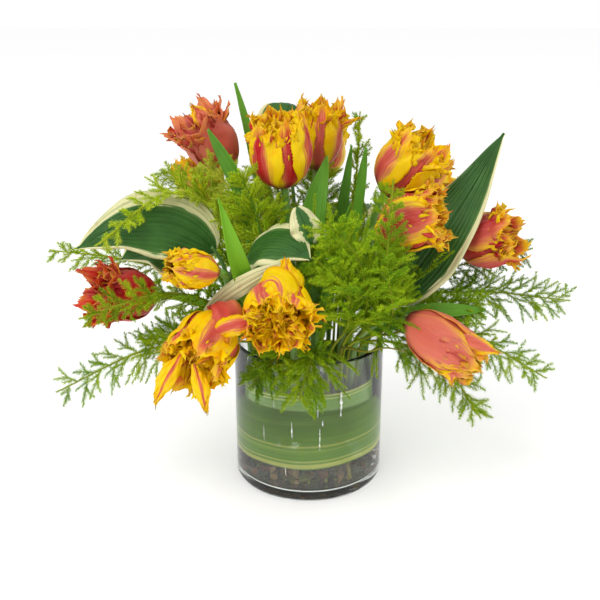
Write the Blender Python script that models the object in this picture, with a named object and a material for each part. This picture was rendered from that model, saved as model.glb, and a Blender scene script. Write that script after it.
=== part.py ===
"""Fringed double tulips, hosta leaves and fern sprays standing in a leaf-lined glass cylinder vase.

Metres, +Z up. The origin is the middle of the vase's foot, and the front of the bouquet faces -Y.
Every stem stands on the vase's floor and runs straight to its own slot at the mouth, then follows a
smooth curve through the points listed for it. The plant tables are in millimetres and degrees, and
their heights count from the slots, 2 mm under the rim.
"""

import math

import bpy
from mathutils import Vector

MM = 0.001

# Vase
VASE_RADIUS = 0.0635
VASE_HEIGHT = 0.127
GLASS_WALL = 0.0036
GLASS_FLOOR = 0.009
HEEL_ROUND = 0.006
RIM_ROUND = GLASS_WALL / 2
FLOOR_ROUND = 0.004
BORE_RADIUS = VASE_RADIUS - GLASS_WALL
ROUND_SIDES = 48

# Leaf liner and water
GAP = 0.0003
LINER_THICKNESS = 0.0008
LINER_BOTTOM = 0.031
LINER_TOP = 0.098
LINER_TILT = 0.002
LINER_TURN = 380
LINER_STEP_IN = 0.0012
LINER_STEP_FROM = 325
LINER_STEP_TO = 355
WATER_TOP = 0.084
WATER_STEP = LINER_BOTTOM - LINER_TILT - 2 * GAP

# Slots for the stems, in three rings: the outer one's distance from the glass, each ring's share of the
# outer one's radius, and what share of its radius at the mouth a stem keeps at its foot
RIM_MARGIN = 0.0099
RING_SHARES = {"inner": 0.34, "middle": 0.68, "outer": 1.0}
FOOT_SHARE = 0.8
FOOT_HEIGHT = GLASS_FLOOR + 2 * GAP
SLOT_DEPTH = 0.002
SLOT_HEIGHT = VASE_HEIGHT - SLOT_DEPTH

# Stems and leaves
TULIP_STEM = 0.0030
STEM_SIDES = 6
PETIOLE_WIDE = 0.0021
PETIOLE_THICK = 0.0015
STRAP_WIDE = 0.0024
STRAP_THICK = 0.0009
LEAF_THICKNESS = 0.0009
STRAP_BLADE_THICK = 0.0011
STRAP_FOLD = 18
MARGIN_CURVE = 1.5

# Outlines: shares of the blade's length and width, and the exponents that shape them
HOSTA_SHIFT = 0.68
HOSTA_FULLNESS = 0.95
HOSTA_LAST = 0.985
STRAP_START = 0.25
STRAP_RISE = 1.15
STRAP_TAPER = 2.6
STRAP_FULLNESS = 0.8
STRAP_LAST = 0.97

# Fern sprays
FERN_BARE = 0.0012
FERN_CLAD = 0.0029
FERN_TIP = 0.0014
FERN_SIDES = 5
BRANCH_ANGLE = 50
BRANCH_REACH = 0.92
BRANCH_SHRINK = 0.55
BRANCH_MIDDLE = 0.55
BRANCH_CURL = 0.25
BRANCH_ROOT = 0.8
STEPS_PER_SPAN = 3

# Blooms
BLOOM_SIDES = 12
BLOOM_BASE = TULIP_STEM + 0.0015
BLOOM_FRILL = 0.06
BLOOM_PROFILE = [(0.07, 0.52), (0.2, 0.82), (0.42, 1.0), (0.7, 0.97)]
BLOOM_LIP = 0.94
BLOOM_TIPS = (0.97, 0.9)
BLOOM_MOUTH = [(0.92, 0.72), (0.97, 0.35)]

GLASS = (0.80, 0.87, 0.87)
LINER_GREEN = (0.24, 0.36, 0.08)
WATER = (0.62, 0.68, 0.64)
STEM_GREEN = (0.28, 0.42, 0.14)
PETALS = (0.90, 0.42, 0.05)
TULIP_LEAF_GREEN = (0.13, 0.30, 0.07)
HOSTA_GREEN = (0.05, 0.16, 0.06)
FERN_GREEN = (0.24, 0.42, 0.05)

# name: slot ring and angle, points between the mouth and the bloom, bloom's base, direction, length,
# largest radius, and the lip's radius as a share of it
TULIPS = {
    "top": ("inner", 235, [(-14, -16, 70)], (-20, -15, 135), (-5, -2, 52), 58, 24, 0.85),
    "top_rear": ("inner", 60, [(8, 28, 70)], (6, 40, 137), (3, 0, 50), 58, 20, 0.9),
    "top_left": ("middle", 152, [(-48, 27, 80)], (-66, 35, 139), (-29, -10, 44), 58, 21, 1.1),
    "top_right": ("middle", 5, [(48, 2, 70)], (62, 0, 126), (36, -10, 48), 58, 25, 1.0),
    "right": ("middle", 322, [(38, -32, 70)], (54, -46, 110), (50, -16, 17), 54, 23, 1.0),
    "far_right": ("outer", 10, [(86, 8, 49)], (124, 2, 79), (44, -18, 18), 52, 22, 1.0),
    "low_right": ("outer", 316, [(55, -54, 35)], (76, -72, 45), (46, -40, -22), 72, 20, 0.6),
    "front": ("outer", 256, [(-18, -70, 45)], (-24, -91, 71), (2, -58, -11), 46, 25, 1.0),
    "low_left": ("outer", 230, [(-50, -66, 40)], (-66, -85, 48), (-25, -55, -19), 60, 24, 1.0),
    "small_left": ("middle", 216, [(-62, -52, 55)], (-69, -92, 90), (-37, -25, 13), 42, 14, 0.6),
    "far_left": ("outer", 182, [(-82, -18, 35)], (-124, -30, 49), (-45, -30, 12), 58, 21, 1.1),
    "rear_left": ("middle", 132, [(-56, 46, 60)], (-84, 60, 100), (-20, 12, 40), 48, 20, 0.9),
    "rear": ("middle", 92, [(2, 62, 70)], (6, 92, 115), (5, 30, 40), 54, 24, 0.95),
    "rear_right": ("outer", 42, [(62, 58, 50)], (84, 82, 87), (38, 32, 26), 56, 24, 1.0),
}

# name: slot ring and angle, points of the petiole, points of the blade from its base to its tip, widest
# width, the way its upper face looks, and how far its margins bend up (+) or droop (-) in degrees
HOSTAS = {
    "left": (
        "outer", 194, [(-62, -18, 44)],
        [(-76, -20, 83), (-108, -30, 109), (-145, -42, 111), (-180, -50, 95)],
        62, (0.0, -0.75, 0.65), -8,
    ),
    "left_rear": (
        "outer", 170, [(-66, 2, 35)],
        [(-84, 8, 63), (-110, 10, 80), (-134, 12, 80), (-158, 14, 65)],
        60, (-0.1, -0.8, 0.6), -8,
    ),
    "front": (
        "middle", 238, [(-40, -26, 48)],
        [(-48, -38, 83), (-32, -59, 102), (-15, -79, 106), (0, -93, 100)],
        55, (-0.05, -0.55, 0.83), -10,
    ),
    "right": (
        "outer", 350, [(60, -22, 30)],
        [(68, -30, 43), (94, -24, 79), (124, -10, 121), (156, 8, 173)],
        54, (-0.45, -0.85, 0.3), 10,
    ),
    "top": (
        "inner", 120, [(-10, 40, 70)],
        [(-14, 64, 115), (-20, 78, 155), (-17, 94, 180), (-10, 118, 170)],
        60, (0.0, -0.5, 0.86), -10,
    ),
    "rear": (
        "outer", 82, [(10, 74, 43)],
        [(20, 90, 67), (34, 118, 83), (44, 146, 79), (52, 170, 61)],
        62, (0.1, 0.4, 0.9), -12,
    ),
}

# name: slot ring and angle, points from the mouth to the tip, widest width, the way its inner face looks
TULIP_LEAVES = {
    "tall_left": ("inner", 175, [(-26, 8, 65), (-46, 22, 155), (-60, 28, 210)], 18, (0.5, -0.85, 0.1)),
    "left": ("middle", 190, [(-38, -16, 65), (-54, -22, 137), (-78, -26, 183)], 25, (-0.5, -0.85, 0.2)),
    "lime": ("outer", 243, [(-42, -66, 45), (-55, -85, 97), (-67, -82, 143)], 23, (0.5, -0.8, 0.2)),
    "centre": ("inner", 290, [(2, -28, 65), (4, -24, 115), (14, -12, 159)], 31, (-0.2, -0.95, 0.2)),
    "centre_rear": ("inner", 5, [(20, 4, 65), (28, 6, 115), (34, 8, 163)], 15, (-0.2, -0.95, 0.2)),
    "centre_right": ("middle", 342, [(34, -14, 65), (40, -17, 120), (44, -18, 167)], 17, (-0.6, -0.8, 0.1)),
    "centre_low": ("middle", 282, [(12, -46, 45), (20, -50, 90), (32, -46, 131)], 18, (0.3, -0.9, 0.2)),
    "right": ("outer", 338, [(66, -40, 29), (102, -52, 43), (140, -48, 43)], 22, (0.1, -0.75, 0.6)),
}

# name: slot ring and angle, points from the mouth to the tip, share of the frond that is bare,
# side branches, length of the longest one, the way the frond's face looks, and how far its branches sag
FERNS = {
    "left_low": (
        "outer", 217, [(-64, -50, 17), (-124, -70, 19), (-196, -90, -9)],
        0.35, 6, 42, (0, -0.9, 0.4), 8,
    ),
    "left_mid": (
        "outer", 206, [(-60, -34, 29), (-106, -74, 67), (-172, -98, 55)],
        0.42, 6, 36, (0, -1, 0.1), -4,
    ),
    "left_arch": (
        "middle", 172, [(-40, 0, 71), (-106, -20, 131), (-160, -76, 105)],
        0.45, 6, 28, (0, -0.5, 0.9), 0,
    ),
    "left_tip": (
        "outer", 156, [(-70, 28, 27), (-150, 32, 57), (-222, 30, 68)],
        0.5, 5, 36, (0, -0.7, 0.7), 6,
    ),
    "gold_left": (
        "inner", 205, [(-30, -10, 90), (-52, -4, 120), (-88, 4, 150)],
        0.4, 6, 40, (0, -0.9, 0.3), 0,
    ),
    "top": (
        "middle", 40, [(32, 32, 75), (40, 36, 135), (42, 38, 185)],
        0.4, 6, 24, (0.8, -0.6, 0), 0,
    ),
    "centre_tall": (
        "outer", 303, [(62, -72, 40), (57, -86, 97), (60, -82, 157)],
        0.35, 6, 34, (0, -1, 0.2), 4,
    ),
    "centre_spray": (
        "outer", 289, [(30, -70, 40), (24, -90, 81), (2, -92, 101)],
        0.25, 7, 40, (0, -0.95, 0.3), 6,
    ),
    "front_drape": (
        "outer", 270, [(4, -70, 17), (0, -88, 15), (-8, -96, -13)],
        0.25, 6, 46, (0, -0.95, 0.3), 14,
    ),
    "right_upper": (
        "middle", 20, [(60, 16, 40), (120, 21, 55), (186, 6, 77)],
        0.4, 6, 40, (0, -0.8, 0.5), 4,
    ),
    "right_long": (
        "outer", 21, [(72, 20, 23), (140, 16, 35), (220, 0, 33)],
        0.45, 7, 48, (0, -0.8, 0.5), 4,
    ),
    "right_low": (
        "outer", 0, [(74, -12, 17), (130, -34, 15), (190, -60, -11)],
        0.35, 7, 44, (0, -0.7, 0.7), 8,
    ),
    "right_drop": (
        "outer", 327, [(70, -44, 13), (108, -64, -1), (136, -80, -37)],
        0.3, 6, 38, (0, -0.8, 0.5), 8,
    ),
    "rear_left": (
        "outer", 128, [(-50, 68, 31), (-92, 112, 53), (-124, 150, 45)],
        0.35, 7, 46, (0, 0.6, 0.8), 8,
    ),
    "rear_right": (
        "outer", 62, [(40, 74, 27), (84, 116, 43), (130, 146, 31)],
        0.35, 7, 46, (0, 0.6, 0.8), 8,
    ),
}


def clear_scene():
    for obj in list(bpy.data.objects):
        bpy.data.objects.remove(obj)


def make_object(name, points, faces):
    mesh = bpy.data.meshes.new(name)
    mesh.from_pydata([tuple(point) for point in points], [], faces)
    mesh.validate()
    mesh.shade_smooth()
    mesh.set_sharp_from_angle(angle=math.radians(40))
    obj = bpy.data.objects.new(name, mesh)
    bpy.context.scene.collection.objects.link(obj)
    return obj


def paint(obj, colour, roughness=0.55, transmission=0.0):
    material = bpy.data.materials.new(obj.name)
    material.use_nodes = True
    shader = material.node_tree.nodes["Principled BSDF"]
    shader.inputs["Base Color"].default_value = (*colour, 1)
    shader.inputs["Roughness"].default_value = roughness
    shader.inputs["Metallic"].default_value = 0
    shader.inputs["Transmission Weight"].default_value = transmission
    obj.data.materials.append(material)


def hide_helper(obj):
    obj.hide_render = True
    obj.display_type = "WIRE"


def above_mouth(point):
    """A place in metres from millimetres, whose height is counted from the slots at the mouth."""
    return Vector(point) * MM + Vector((0, 0, SLOT_HEIGHT))


def arc(centre_radius, centre_height, radius, start, end, steps=4):
    """Profile points of a round corner, its angles in degrees from outward towards up."""
    angles = [math.radians(start + (end - start) * step / steps) for step in range(steps + 1)]
    return [(centre_radius + radius * math.cos(a), centre_height + radius * math.sin(a)) for a in angles]


def turned(name, profile):
    """A closed solid from a profile of (radius, height) that starts and ends on the axis."""
    points = [Vector((0, 0, profile[0][1]))]
    for radius, height in profile[1:-1]:
        for side in range(ROUND_SIDES):
            turn = 2 * math.pi * side / ROUND_SIDES
            points.append(Vector((radius * math.cos(turn), radius * math.sin(turn), height)))
    points.append(Vector((0, 0, profile[-1][1])))
    faces = tube_faces(len(profile) - 2, ROUND_SIDES, first=1)
    last_ring = len(points) - 1 - ROUND_SIDES
    for side in range(ROUND_SIDES):
        after = (side + 1) % ROUND_SIDES
        faces.append((0, 1 + after, 1 + side))
        faces.append((len(points) - 1, last_ring + side, last_ring + after))
    return make_object(name, points, faces)


def tube_faces(rings, sides, first=0):
    faces = []
    for ring in range(rings - 1):
        low = first + ring * sides
        for side in range(sides):
            after = (side + 1) % sides
            faces.append((low + side, low + after, low + sides + after, low + sides + side))
    return faces


def lofted(rings):
    """Points and faces of the closed skin through these rings, with flat ends."""
    sides = len(rings[0])
    points = [point for ring in rings for point in ring]
    faces = tube_faces(len(rings), sides)
    faces.append(tuple(reversed(range(sides))))
    faces.append(tuple(range(len(points) - sides, len(points))))
    return points, faces


def joined(solids):
    points = []
    faces = []
    for more_points, more_faces in solids:
        shift = len(points)
        points += more_points
        faces += [tuple(index + shift for index in face) for face in more_faces]
    return points, faces


def slot(ring, angle):
    """Where a stem stands on the floor, and where it passes the mouth."""
    radius = (BORE_RADIUS - RIM_MARGIN) * RING_SHARES[ring]
    turn = math.radians(angle)
    outward = Vector((math.cos(turn), math.sin(turn), 0))
    foot = outward * radius * FOOT_SHARE + Vector((0, 0, FOOT_HEIGHT))
    mouth = outward * radius + Vector((0, 0, SLOT_HEIGHT))
    return foot, mouth


def smooth_route(points, start, end, steps=STEPS_PER_SPAN):
    """A smooth curve through the points, leaving along start and arriving along end."""
    lengths = [(after - before).length for before, after in zip(points, points[1:])]
    slopes = [start.normalized()]
    for index in range(1, len(points) - 1):
        before = (points[index] - points[index - 1]) / lengths[index - 1]
        after = (points[index + 1] - points[index]) / lengths[index]
        share = lengths[index] / (lengths[index - 1] + lengths[index])
        slopes.append(before * share + after * (1 - share))
    slopes.append(end.normalized())
    route = [points[0]]
    for index, length in enumerate(lengths):
        for step in range(1, steps + 1):
            route.append(hermite(points, slopes, index, length, step / steps))
    return route


def hermite(points, slopes, index, length, t):
    low = points[index] * (2 * t**3 - 3 * t**2 + 1) + slopes[index] * length * (t**3 - 2 * t**2 + t)
    high = points[index + 1] * (3 * t**2 - 2 * t**3) + slopes[index + 1] * length * (t**3 - t**2)
    return low + high


def route_from_slot(ring, angle, points, end=None, steps=STEPS_PER_SPAN):
    """Foot, mouth, and the curve on from the mouth."""
    foot, mouth = slot(ring, angle)
    bends = [mouth] + [above_mouth(point) for point in points]
    return [foot] + smooth_route(bends, mouth - foot, end or bends[-1] - bends[-2], steps)


def directions(route, end=None):
    found = []
    for index in range(len(route)):
        before = route[max(index - 1, 0)]
        after = route[min(index + 1, len(route) - 1)]
        found.append((after - before).normalized())
    return found[:-1] + [(end or found[-1]).normalized()]


def round_rings(route, radii, sides, end=None):
    """Rings of a round tube that doesn't twist, whose last one may face along end."""
    rings = []
    across = directions(route)[0].orthogonal()
    for point, along, radius in zip(route, directions(route, end), radii):
        across = (across - along * across.dot(along)).normalized()
        beside = along.cross(across)
        turns = [2 * math.pi * side / sides for side in range(sides)]
        rings.append([point + (across * math.cos(t) + beside * math.sin(t)) * radius for t in turns])
    return rings


def flat_ring(point, along, face, half_width, half_thickness, bend, stations):
    """One cross-section of a blade: its upper edge points, then its lower ones back again."""
    across = along.cross(face).normalized()
    above = across.cross(along)
    upper = []
    lower = []
    for share in stations:
        lift = half_width * math.sin(bend) * abs(share) ** MARGIN_CURVE
        middle = point + across * half_width * math.cos(bend) * share + above * lift
        upper.append(middle + above * half_thickness)
        lower.append(middle - above * half_thickness)
    return upper + lower[::-1]


def water_cutters():
    """One prism around every stem's straight run through the water."""
    kinds = [
        (TULIPS, TULIP_STEM),
        (HOSTAS, math.hypot(PETIOLE_WIDE, PETIOLE_THICK)),
        (TULIP_LEAVES, math.hypot(STRAP_WIDE, STRAP_THICK)),
        (FERNS, FERN_BARE),
    ]
    solids = []
    for plants, reach in kinds:
        radius = (reach + GAP) / math.cos(math.pi / STEM_SIDES)
        for ring, angle, *_ in plants.values():
            foot, mouth = slot(ring, angle)
            low = foot + (foot - mouth) * 0.05
            solids.append(lofted(round_rings([low, mouth], [radius, radius], STEM_SIDES)))
    return solids


def build_vase():
    heel = arc(VASE_RADIUS - HEEL_ROUND, HEEL_ROUND, HEEL_ROUND, -90, 0)
    rim = arc(VASE_RADIUS - RIM_ROUND, VASE_HEIGHT - RIM_ROUND, RIM_ROUND, 0, 180)
    floor = arc(BORE_RADIUS - FLOOR_ROUND, GLASS_FLOOR + FLOOR_ROUND, FLOOR_ROUND, 0, -90)
    vase = turned("vase", [(0, 0)] + heel + rim + floor + [(0, GLASS_FLOOR)])
    paint(vase, GLASS, 0.02, 1.0)


def build_liner():
    """A band of leaf inside the glass, whose end tucks in behind its start."""
    rings = []
    steps = ROUND_SIDES
    for step in range(steps + 1):
        degrees = LINER_TURN * step / steps
        turn = math.radians(degrees)
        tuck = min(max((degrees - LINER_STEP_FROM) / (LINER_STEP_TO - LINER_STEP_FROM), 0), 1)
        outer = BORE_RADIUS - 2 * GAP - LINER_STEP_IN * tuck
        inner = outer - LINER_THICKNESS
        tilt = LINER_TILT * math.cos(turn)
        out = Vector((math.cos(turn), math.sin(turn), 0))
        low = Vector((0, 0, LINER_BOTTOM + tilt))
        high = Vector((0, 0, LINER_TOP + tilt))
        rings.append([out * inner + low, out * inner + high, out * outer + high, out * outer + low])
    liner = make_object("leaf_liner", *lofted(rings))
    paint(liner, LINER_GREEN)


def build_water():
    wide = BORE_RADIUS - 2 * GAP
    narrow = BORE_RADIUS - LINER_THICKNESS - LINER_STEP_IN - 4 * GAP
    bottom = GLASS_FLOOR + GAP
    floor = arc(wide - FLOOR_ROUND, bottom + FLOOR_ROUND, FLOOR_ROUND, -90, 0)
    profile = [(0, bottom)] + floor + [(wide, WATER_STEP), (narrow, WATER_STEP), (narrow, WATER_TOP)]
    water = turned("water", profile + [(0, WATER_TOP)])
    paint(water, WATER, 0.02, 1.0)
    cutter = make_object("stem_holes", *joined(water_cutters()))
    hide_helper(cutter)
    holes = water.modifiers.new("stem holes", "BOOLEAN")
    holes.operation = "DIFFERENCE"
    holes.use_self = True
    holes.object = cutter


def build_tulip(name, ring, angle, bends, base, aim, length, radius, lip):
    direction = Vector(aim).normalized()
    stem_end = Vector(base) - direction * (GAP / MM)
    route = route_from_slot(ring, angle, bends + [tuple(stem_end)], direction)
    rings = round_rings(route, [TULIP_STEM] * len(route), STEM_SIDES, direction)
    stem = make_object(f"tulip_stem_{name}", *lofted(rings))
    paint(stem, STEM_GREEN)
    bloom = make_object(f"bloom_{name}", *lofted(bloom_rings(length * MM, radius * MM, lip)))
    bloom.location = above_mouth(base)
    bloom.rotation_euler = direction.to_track_quat("Z", "Y").to_euler()
    paint(bloom, PETALS)


def bloom_rings(length, radius, lip):
    """A goblet with a ragged lip of twelve tips and a domed heart, along +Z from its base."""
    profile = [(0, BLOOM_BASE / radius)] + BLOOM_PROFILE + [(BLOOM_LIP, lip)]
    rings = [bloom_ring(length * high, radius * wide, 0) for high, wide in profile]
    high, wide = BLOOM_TIPS
    rings.append(bloom_ring(length * high, radius * lip * wide, length * BLOOM_FRILL))
    rings += [bloom_ring(length * high, radius * lip * wide, 0) for high, wide in BLOOM_MOUTH]
    return rings


def bloom_ring(height, radius, frill):
    points = []
    for side in range(BLOOM_SIDES):
        turn = 2 * math.pi * side / BLOOM_SIDES
        tip = frill if side % 2 else -frill / 2
        points.append(Vector((radius * math.cos(turn), radius * math.sin(turn), height + tip)))
    return points


def hosta_outline(share):
    return math.sin(math.pi * share**HOSTA_SHIFT) ** HOSTA_FULLNESS


def build_hosta(name, ring, angle, petiole, blade, width, face, bend):
    steps = STEPS_PER_SPAN
    route = route_from_slot(ring, angle, petiole + blade)
    blade_start = 1 + steps * len(petiole) + steps
    blade_steps = len(route) - 1 - blade_start
    stations = (-1, -0.5, 0, 0.5, 1)
    rings = []
    for index, (point, along) in enumerate(zip(route, directions(route))):
        share = max(index - blade_start, 0) / blade_steps
        half = max(width * MM / 2 * hosta_outline(min(share, HOSTA_LAST)), PETIOLE_WIDE)
        on_blade = min(share * blade_steps, 1)
        thick = PETIOLE_THICK + (LEAF_THICKNESS / 2 - PETIOLE_THICK) * on_blade
        turn = math.radians(bend) * on_blade
        rings.append(flat_ring(point, along, Vector(face), half, thick, turn, stations))
    leaf = make_object(f"hosta_leaf_{name}", *lofted(rings))
    paint(leaf, HOSTA_GREEN)


def tulip_leaf_outline(share):
    rise = STRAP_START + (1 - STRAP_START) * math.sin(math.pi * min(share * STRAP_RISE, 1) / 2)
    return rise * (1 - share**STRAP_TAPER) ** STRAP_FULLNESS


def build_tulip_leaf(name, ring, angle, bends, width, face):
    route = route_from_slot(ring, angle, bends)
    rings = []
    for index, (point, along) in enumerate(zip(route, directions(route))):
        share = max(index - 1, 0) / (len(route) - 2)
        half = max(width * MM / 2 * tulip_leaf_outline(min(share, STRAP_LAST)), STRAP_THICK)
        half = STRAP_WIDE if share == 0 else half
        fold = math.radians(STRAP_FOLD)
        rings.append(flat_ring(point, along, Vector(face), half, STRAP_BLADE_THICK / 2, fold, (-1, 0, 1)))
    leaf = make_object(f"tulip_leaf_{name}", *lofted(rings))
    paint(leaf, TULIP_LEAF_GREEN)


def fern_branches(route, bare, count, longest, face, sag):
    """Side branches, left and right in turn, each a short tube that starts inside the main stem."""
    solids = []
    along_all = directions(route)
    first = 1 + bare * (len(route) - 2)
    for branch in range(count):
        share = (branch + 0.5) / count
        place = first + (len(route) - 1 - first) * share * BRANCH_REACH
        index = min(int(place), len(route) - 2)
        start = route[index].lerp(route[index + 1], place - index)
        along = along_all[index]
        beside = Vector(face).cross(along).normalized() * (1 if branch % 2 else -1)
        angle = math.radians(BRANCH_ANGLE)
        lead = along * math.cos(angle) + beside * math.sin(angle)
        shrink = 1 - BRANCH_SHRINK * share
        length = longest * MM * shrink
        middle = start + lead * length * BRANCH_MIDDLE
        tip = start + (lead + along * BRANCH_CURL).normalized() * length
        tip -= Vector((0, 0, sag * MM * shrink))
        radii = [FERN_CLAD * BRANCH_ROOT, FERN_CLAD, FERN_TIP]
        solids.append(lofted(round_rings([start, middle, tip], radii, FERN_SIDES)))
    return solids


def build_fern(name, ring, angle, bends, bare, count, longest, face, sag):
    route = route_from_slot(ring, angle, bends)
    first = 1 + bare * (len(route) - 2)
    radii = []
    for index in range(len(route)):
        clad = min(max(index - first, 0), 1)
        end = max(index - first, 0) / (len(route) - 1 - first)
        radii.append(FERN_BARE + (FERN_CLAD - FERN_BARE) * clad + (FERN_TIP - FERN_CLAD) * end**2)
    frond = make_object(f"fern_{name}", *lofted(round_rings(route, radii, FERN_SIDES)))
    paint(frond, FERN_GREEN)
    solids = fern_branches(route, bare, count, longest, face, sag)
    branches = make_object(f"fern_{name}_branches", *joined(solids))
    hide_helper(branches)
    union = frond.modifiers.new("branches", "BOOLEAN")
    union.operation = "UNION"
    union.use_self = True
    union.object = branches


def main():
    clear_scene()
    build_vase()
    build_liner()
    build_water()
    for name, details in TULIPS.items():
        build_tulip(name, *details)
    for name, details in HOSTAS.items():
        build_hosta(name, *details)
    for name, details in TULIP_LEAVES.items():
        build_tulip_leaf(name, *details)
    for name, details in FERNS.items():
        build_fern(name, *details)


main()
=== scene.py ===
"""Looks of a bouquet of fringed double tulips, hosta leaves and fern sprays in a leaf-lined glass vase.

Everything is in metres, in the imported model's frame. The tables of blooms, leaves and fern fronds repeat the
points of the CAD model's own tables, in millimetres and degrees, with heights counted from the slots where
the stems pass the vase's mouth.
"""

import math

import bpy
import numpy as np
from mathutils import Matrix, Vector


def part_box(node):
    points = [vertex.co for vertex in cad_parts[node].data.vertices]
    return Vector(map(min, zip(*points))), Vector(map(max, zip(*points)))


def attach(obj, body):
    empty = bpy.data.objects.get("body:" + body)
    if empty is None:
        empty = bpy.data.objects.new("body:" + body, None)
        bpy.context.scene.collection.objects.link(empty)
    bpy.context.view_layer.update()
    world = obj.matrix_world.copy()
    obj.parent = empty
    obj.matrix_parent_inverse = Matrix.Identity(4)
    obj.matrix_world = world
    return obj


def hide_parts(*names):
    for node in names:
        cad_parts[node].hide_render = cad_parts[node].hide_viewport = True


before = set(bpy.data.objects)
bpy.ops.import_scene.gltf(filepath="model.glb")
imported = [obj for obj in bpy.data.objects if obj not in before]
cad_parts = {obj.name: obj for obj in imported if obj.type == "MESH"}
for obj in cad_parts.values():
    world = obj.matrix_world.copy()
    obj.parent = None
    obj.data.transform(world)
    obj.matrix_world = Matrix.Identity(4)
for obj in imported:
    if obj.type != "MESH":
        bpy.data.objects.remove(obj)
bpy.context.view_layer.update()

MM = 0.001
SEED = 11

# Camera and light
CAMERA_TARGET = np.array((-0.0075, 0.0, 0.1585))
CAMERA_DISTANCE = 0.85
CAMERA_ELEVATION = 20.5
CAMERA_LENS = 60.6
CAMERA_SENSOR = 36
CAMERA_NEAREST = 0.05
FLOOR_SIZE = 8.0

# Vase, as in the CAD model
VASE_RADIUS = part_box("vase")[1].x
VASE_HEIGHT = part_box("vase")[1].z
GLASS_WALL = 0.0036
GLASS_FLOOR = 0.009
HEEL_ROUND = 0.006
HEEL_STEPS = 10
LIP_STEPS = 10
FLOOR_STEPS = 8
FOOT_HOLLOW = 0.0006
FOOT_RING = 1.6
FLOOR_ROUND = 0.004
BORE_RADIUS = VASE_RADIUS - GLASS_WALL
TURN_SIDES = 160
LINER_TURN = 380
LINER_OVERLAP = (325, 355)
LINER_COLUMNS = 150
LINER_ROWS = 40
LINER_THICKNESS = 0.0008
LINER_BOTTOM = 0.031
LINER_TOP = 0.098
LINER_TILT = 0.002
LINER_STEP_IN = 0.0012
LINER_CLEARANCE = 0.0006
LINER_EDGE_WAVE = 0.0006
LINER_RIPPLE = 0.00015
# Middle and half width of each stripe as shares of the band's height, and its strength
LINER_STRIPES = [
    (0.985, 0.014, 0.9), (0.94, 0.009, 0.8), (0.30, 0.014, 0.7), (0.24, 0.008, 0.4),
    (0.10, 0.016, 0.55), (0.035, 0.035, 0.9),
]
WATER_OVERLAP = 0.0003
WATER_EDGE = 0.002
WATER_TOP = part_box("water")[1].z

# Slots of the stems, as in the CAD model
SLOT_HEIGHT = VASE_HEIGHT - 0.002
OUTER_RING = BORE_RADIUS - 0.0099
RING_SHARES = {"inner": 0.34, "middle": 0.68, "outer": 1.0}
FOOT_SHARE = 0.8
FOOT_HEIGHT = GLASS_FLOOR + 0.0006

# Stems, petals and leaves
TULIP_STEM = 0.0030
BLOOM_BASE = TULIP_STEM + 0.0015
OUTER_PETAL = 0.0005
INNER_PETAL = 0.0003
OUTER_PETALS = 6
OUTER_GRID = (32, 29)
OUTER_RUFFLE = 0.0012
OUTER_TEETH = 0.0022
OUTER_TUCK = 0.93
# The rows of petals in a bloom's heart, from the outermost: radius as a share of the bloom's, and count
INNER_ROWS = [(0.84, 9), (0.64, 8), (0.46, 7), (0.3, 6), (0.16, 4)]
INNER_GRID = (22, 21)
INNER_RUFFLE = 0.0030
INNER_TEETH = 0.0024
INNER_THREADS = 0.8
# Below this flame width most petals of the heart are plain
ALL_RED_FLAME = 1.5
SHOULDER = 0.97
STRAY_FACE = (0.1, -0.9, 0.45)
STRAY_STEPS = 14
STRAY_COLUMNS = 19
STRAY_WAVE = 0.0012
LEAF_THICKNESS = 0.0007
STEM_SIDES = 14
STEM_STEPS = 8
PETIOLE_RADIUS = 0.0019
STRAP_WIDE = 0.0024
STRAP_STEPS = 6
TULIP_LEAF_STEPS = 14
TULIP_LEAF_COLUMNS = 21
TULIP_LEAF_NARROWEST = 0.0006
TULIP_LEAF_BEND = 24
HOSTA_VEINS = 14
HOSTA_STEPS = 16
HOSTA_COLUMNS = 49
HOSTA_RELIEF = 0.0016
HOSTA_WAVE = 0.0022
HOSTA_RIB = 0.0008
HOSTA_NARROWEST = 0.0012
PETIOLE_STEPS = 5
PETIOLE_SIDES = 10
FLAP_STEPS = 12
FLAP_COLUMNS = 25
FLAP_BEND = -20
HOSTA_SHIFT = 0.68
HOSTA_FULLNESS = 0.95

# Ferns
FERN_STALK = 0.0012
FERN_STEPS = 10
FERN_STALK_STEPS = 3
FERN_STALK_SIDES = 8
TWIG = 0.0004
TWIG_SIDES = 5
TWIG_STEPS = 6
NEEDLE_LENGTH = 0.0042
NEEDLE_WIDTH = 0.0006
NEEDLE_SPACING = 0.0008
NEEDLES_PER_WHORL = 4
BRANCHES_PER_ROW = 4
SUB_TWIGS = 2
FILLER_SPRIGS = 34
FILLER_BRANCHES = 10
FILLER_STEPS = 8
FILLER_FACE = (0, -0.7, 0.7)
GOLDEN_ANGLE = 2.399963

# Scraps under the liner, and streaks on the outside of the glass, painted white as reflections of light: turn
# in degrees, top, length and width
DEBRIS_LEAVES = 340
DEBRIS_STEMS = 30
DEBRIS_GRID = (7, 4)
DEBRIS_HALF_THICKNESS = 0.0002
GLINT_STREAK_GRID = (14, 5)
GLINT_STREAK_HALF_THICKNESS = 0.00008
GLINT_STREAK_OUT = 0.00005
GLINT_STREAKS = [
    (-130, 0.104, 0.009, 0.0012), (-117, 0.092, 0.006, 0.0012), (-103, 0.076, 0.015, 0.0014),
    (-84, 0.094, 0.014, 0.0014), (-66, 0.101, 0.022, 0.0034), (-82, 0.070, 0.020, 0.0018),
    (-126, 0.068, 0.015, 0.0010), (-108, 0.034, 0.009, 0.0014), (-80, 0.078, 0.006, 0.0014),
]

# Studio
WORLD_STRENGTH = 0.74
BACKDROP_STRENGTH = 1.0
FLOOR_WHITE = (0.96, 0.96, 0.96)
FLOOR_GLOW = 0.26
LAMPS = [
    ("key", (-0.7, -0.9, 1.5), 14.0, (0.9, 0.9)),
    ("side", (1.4, -0.3, 0.7), 4.0, (0.5, 1.2)),
]

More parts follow.
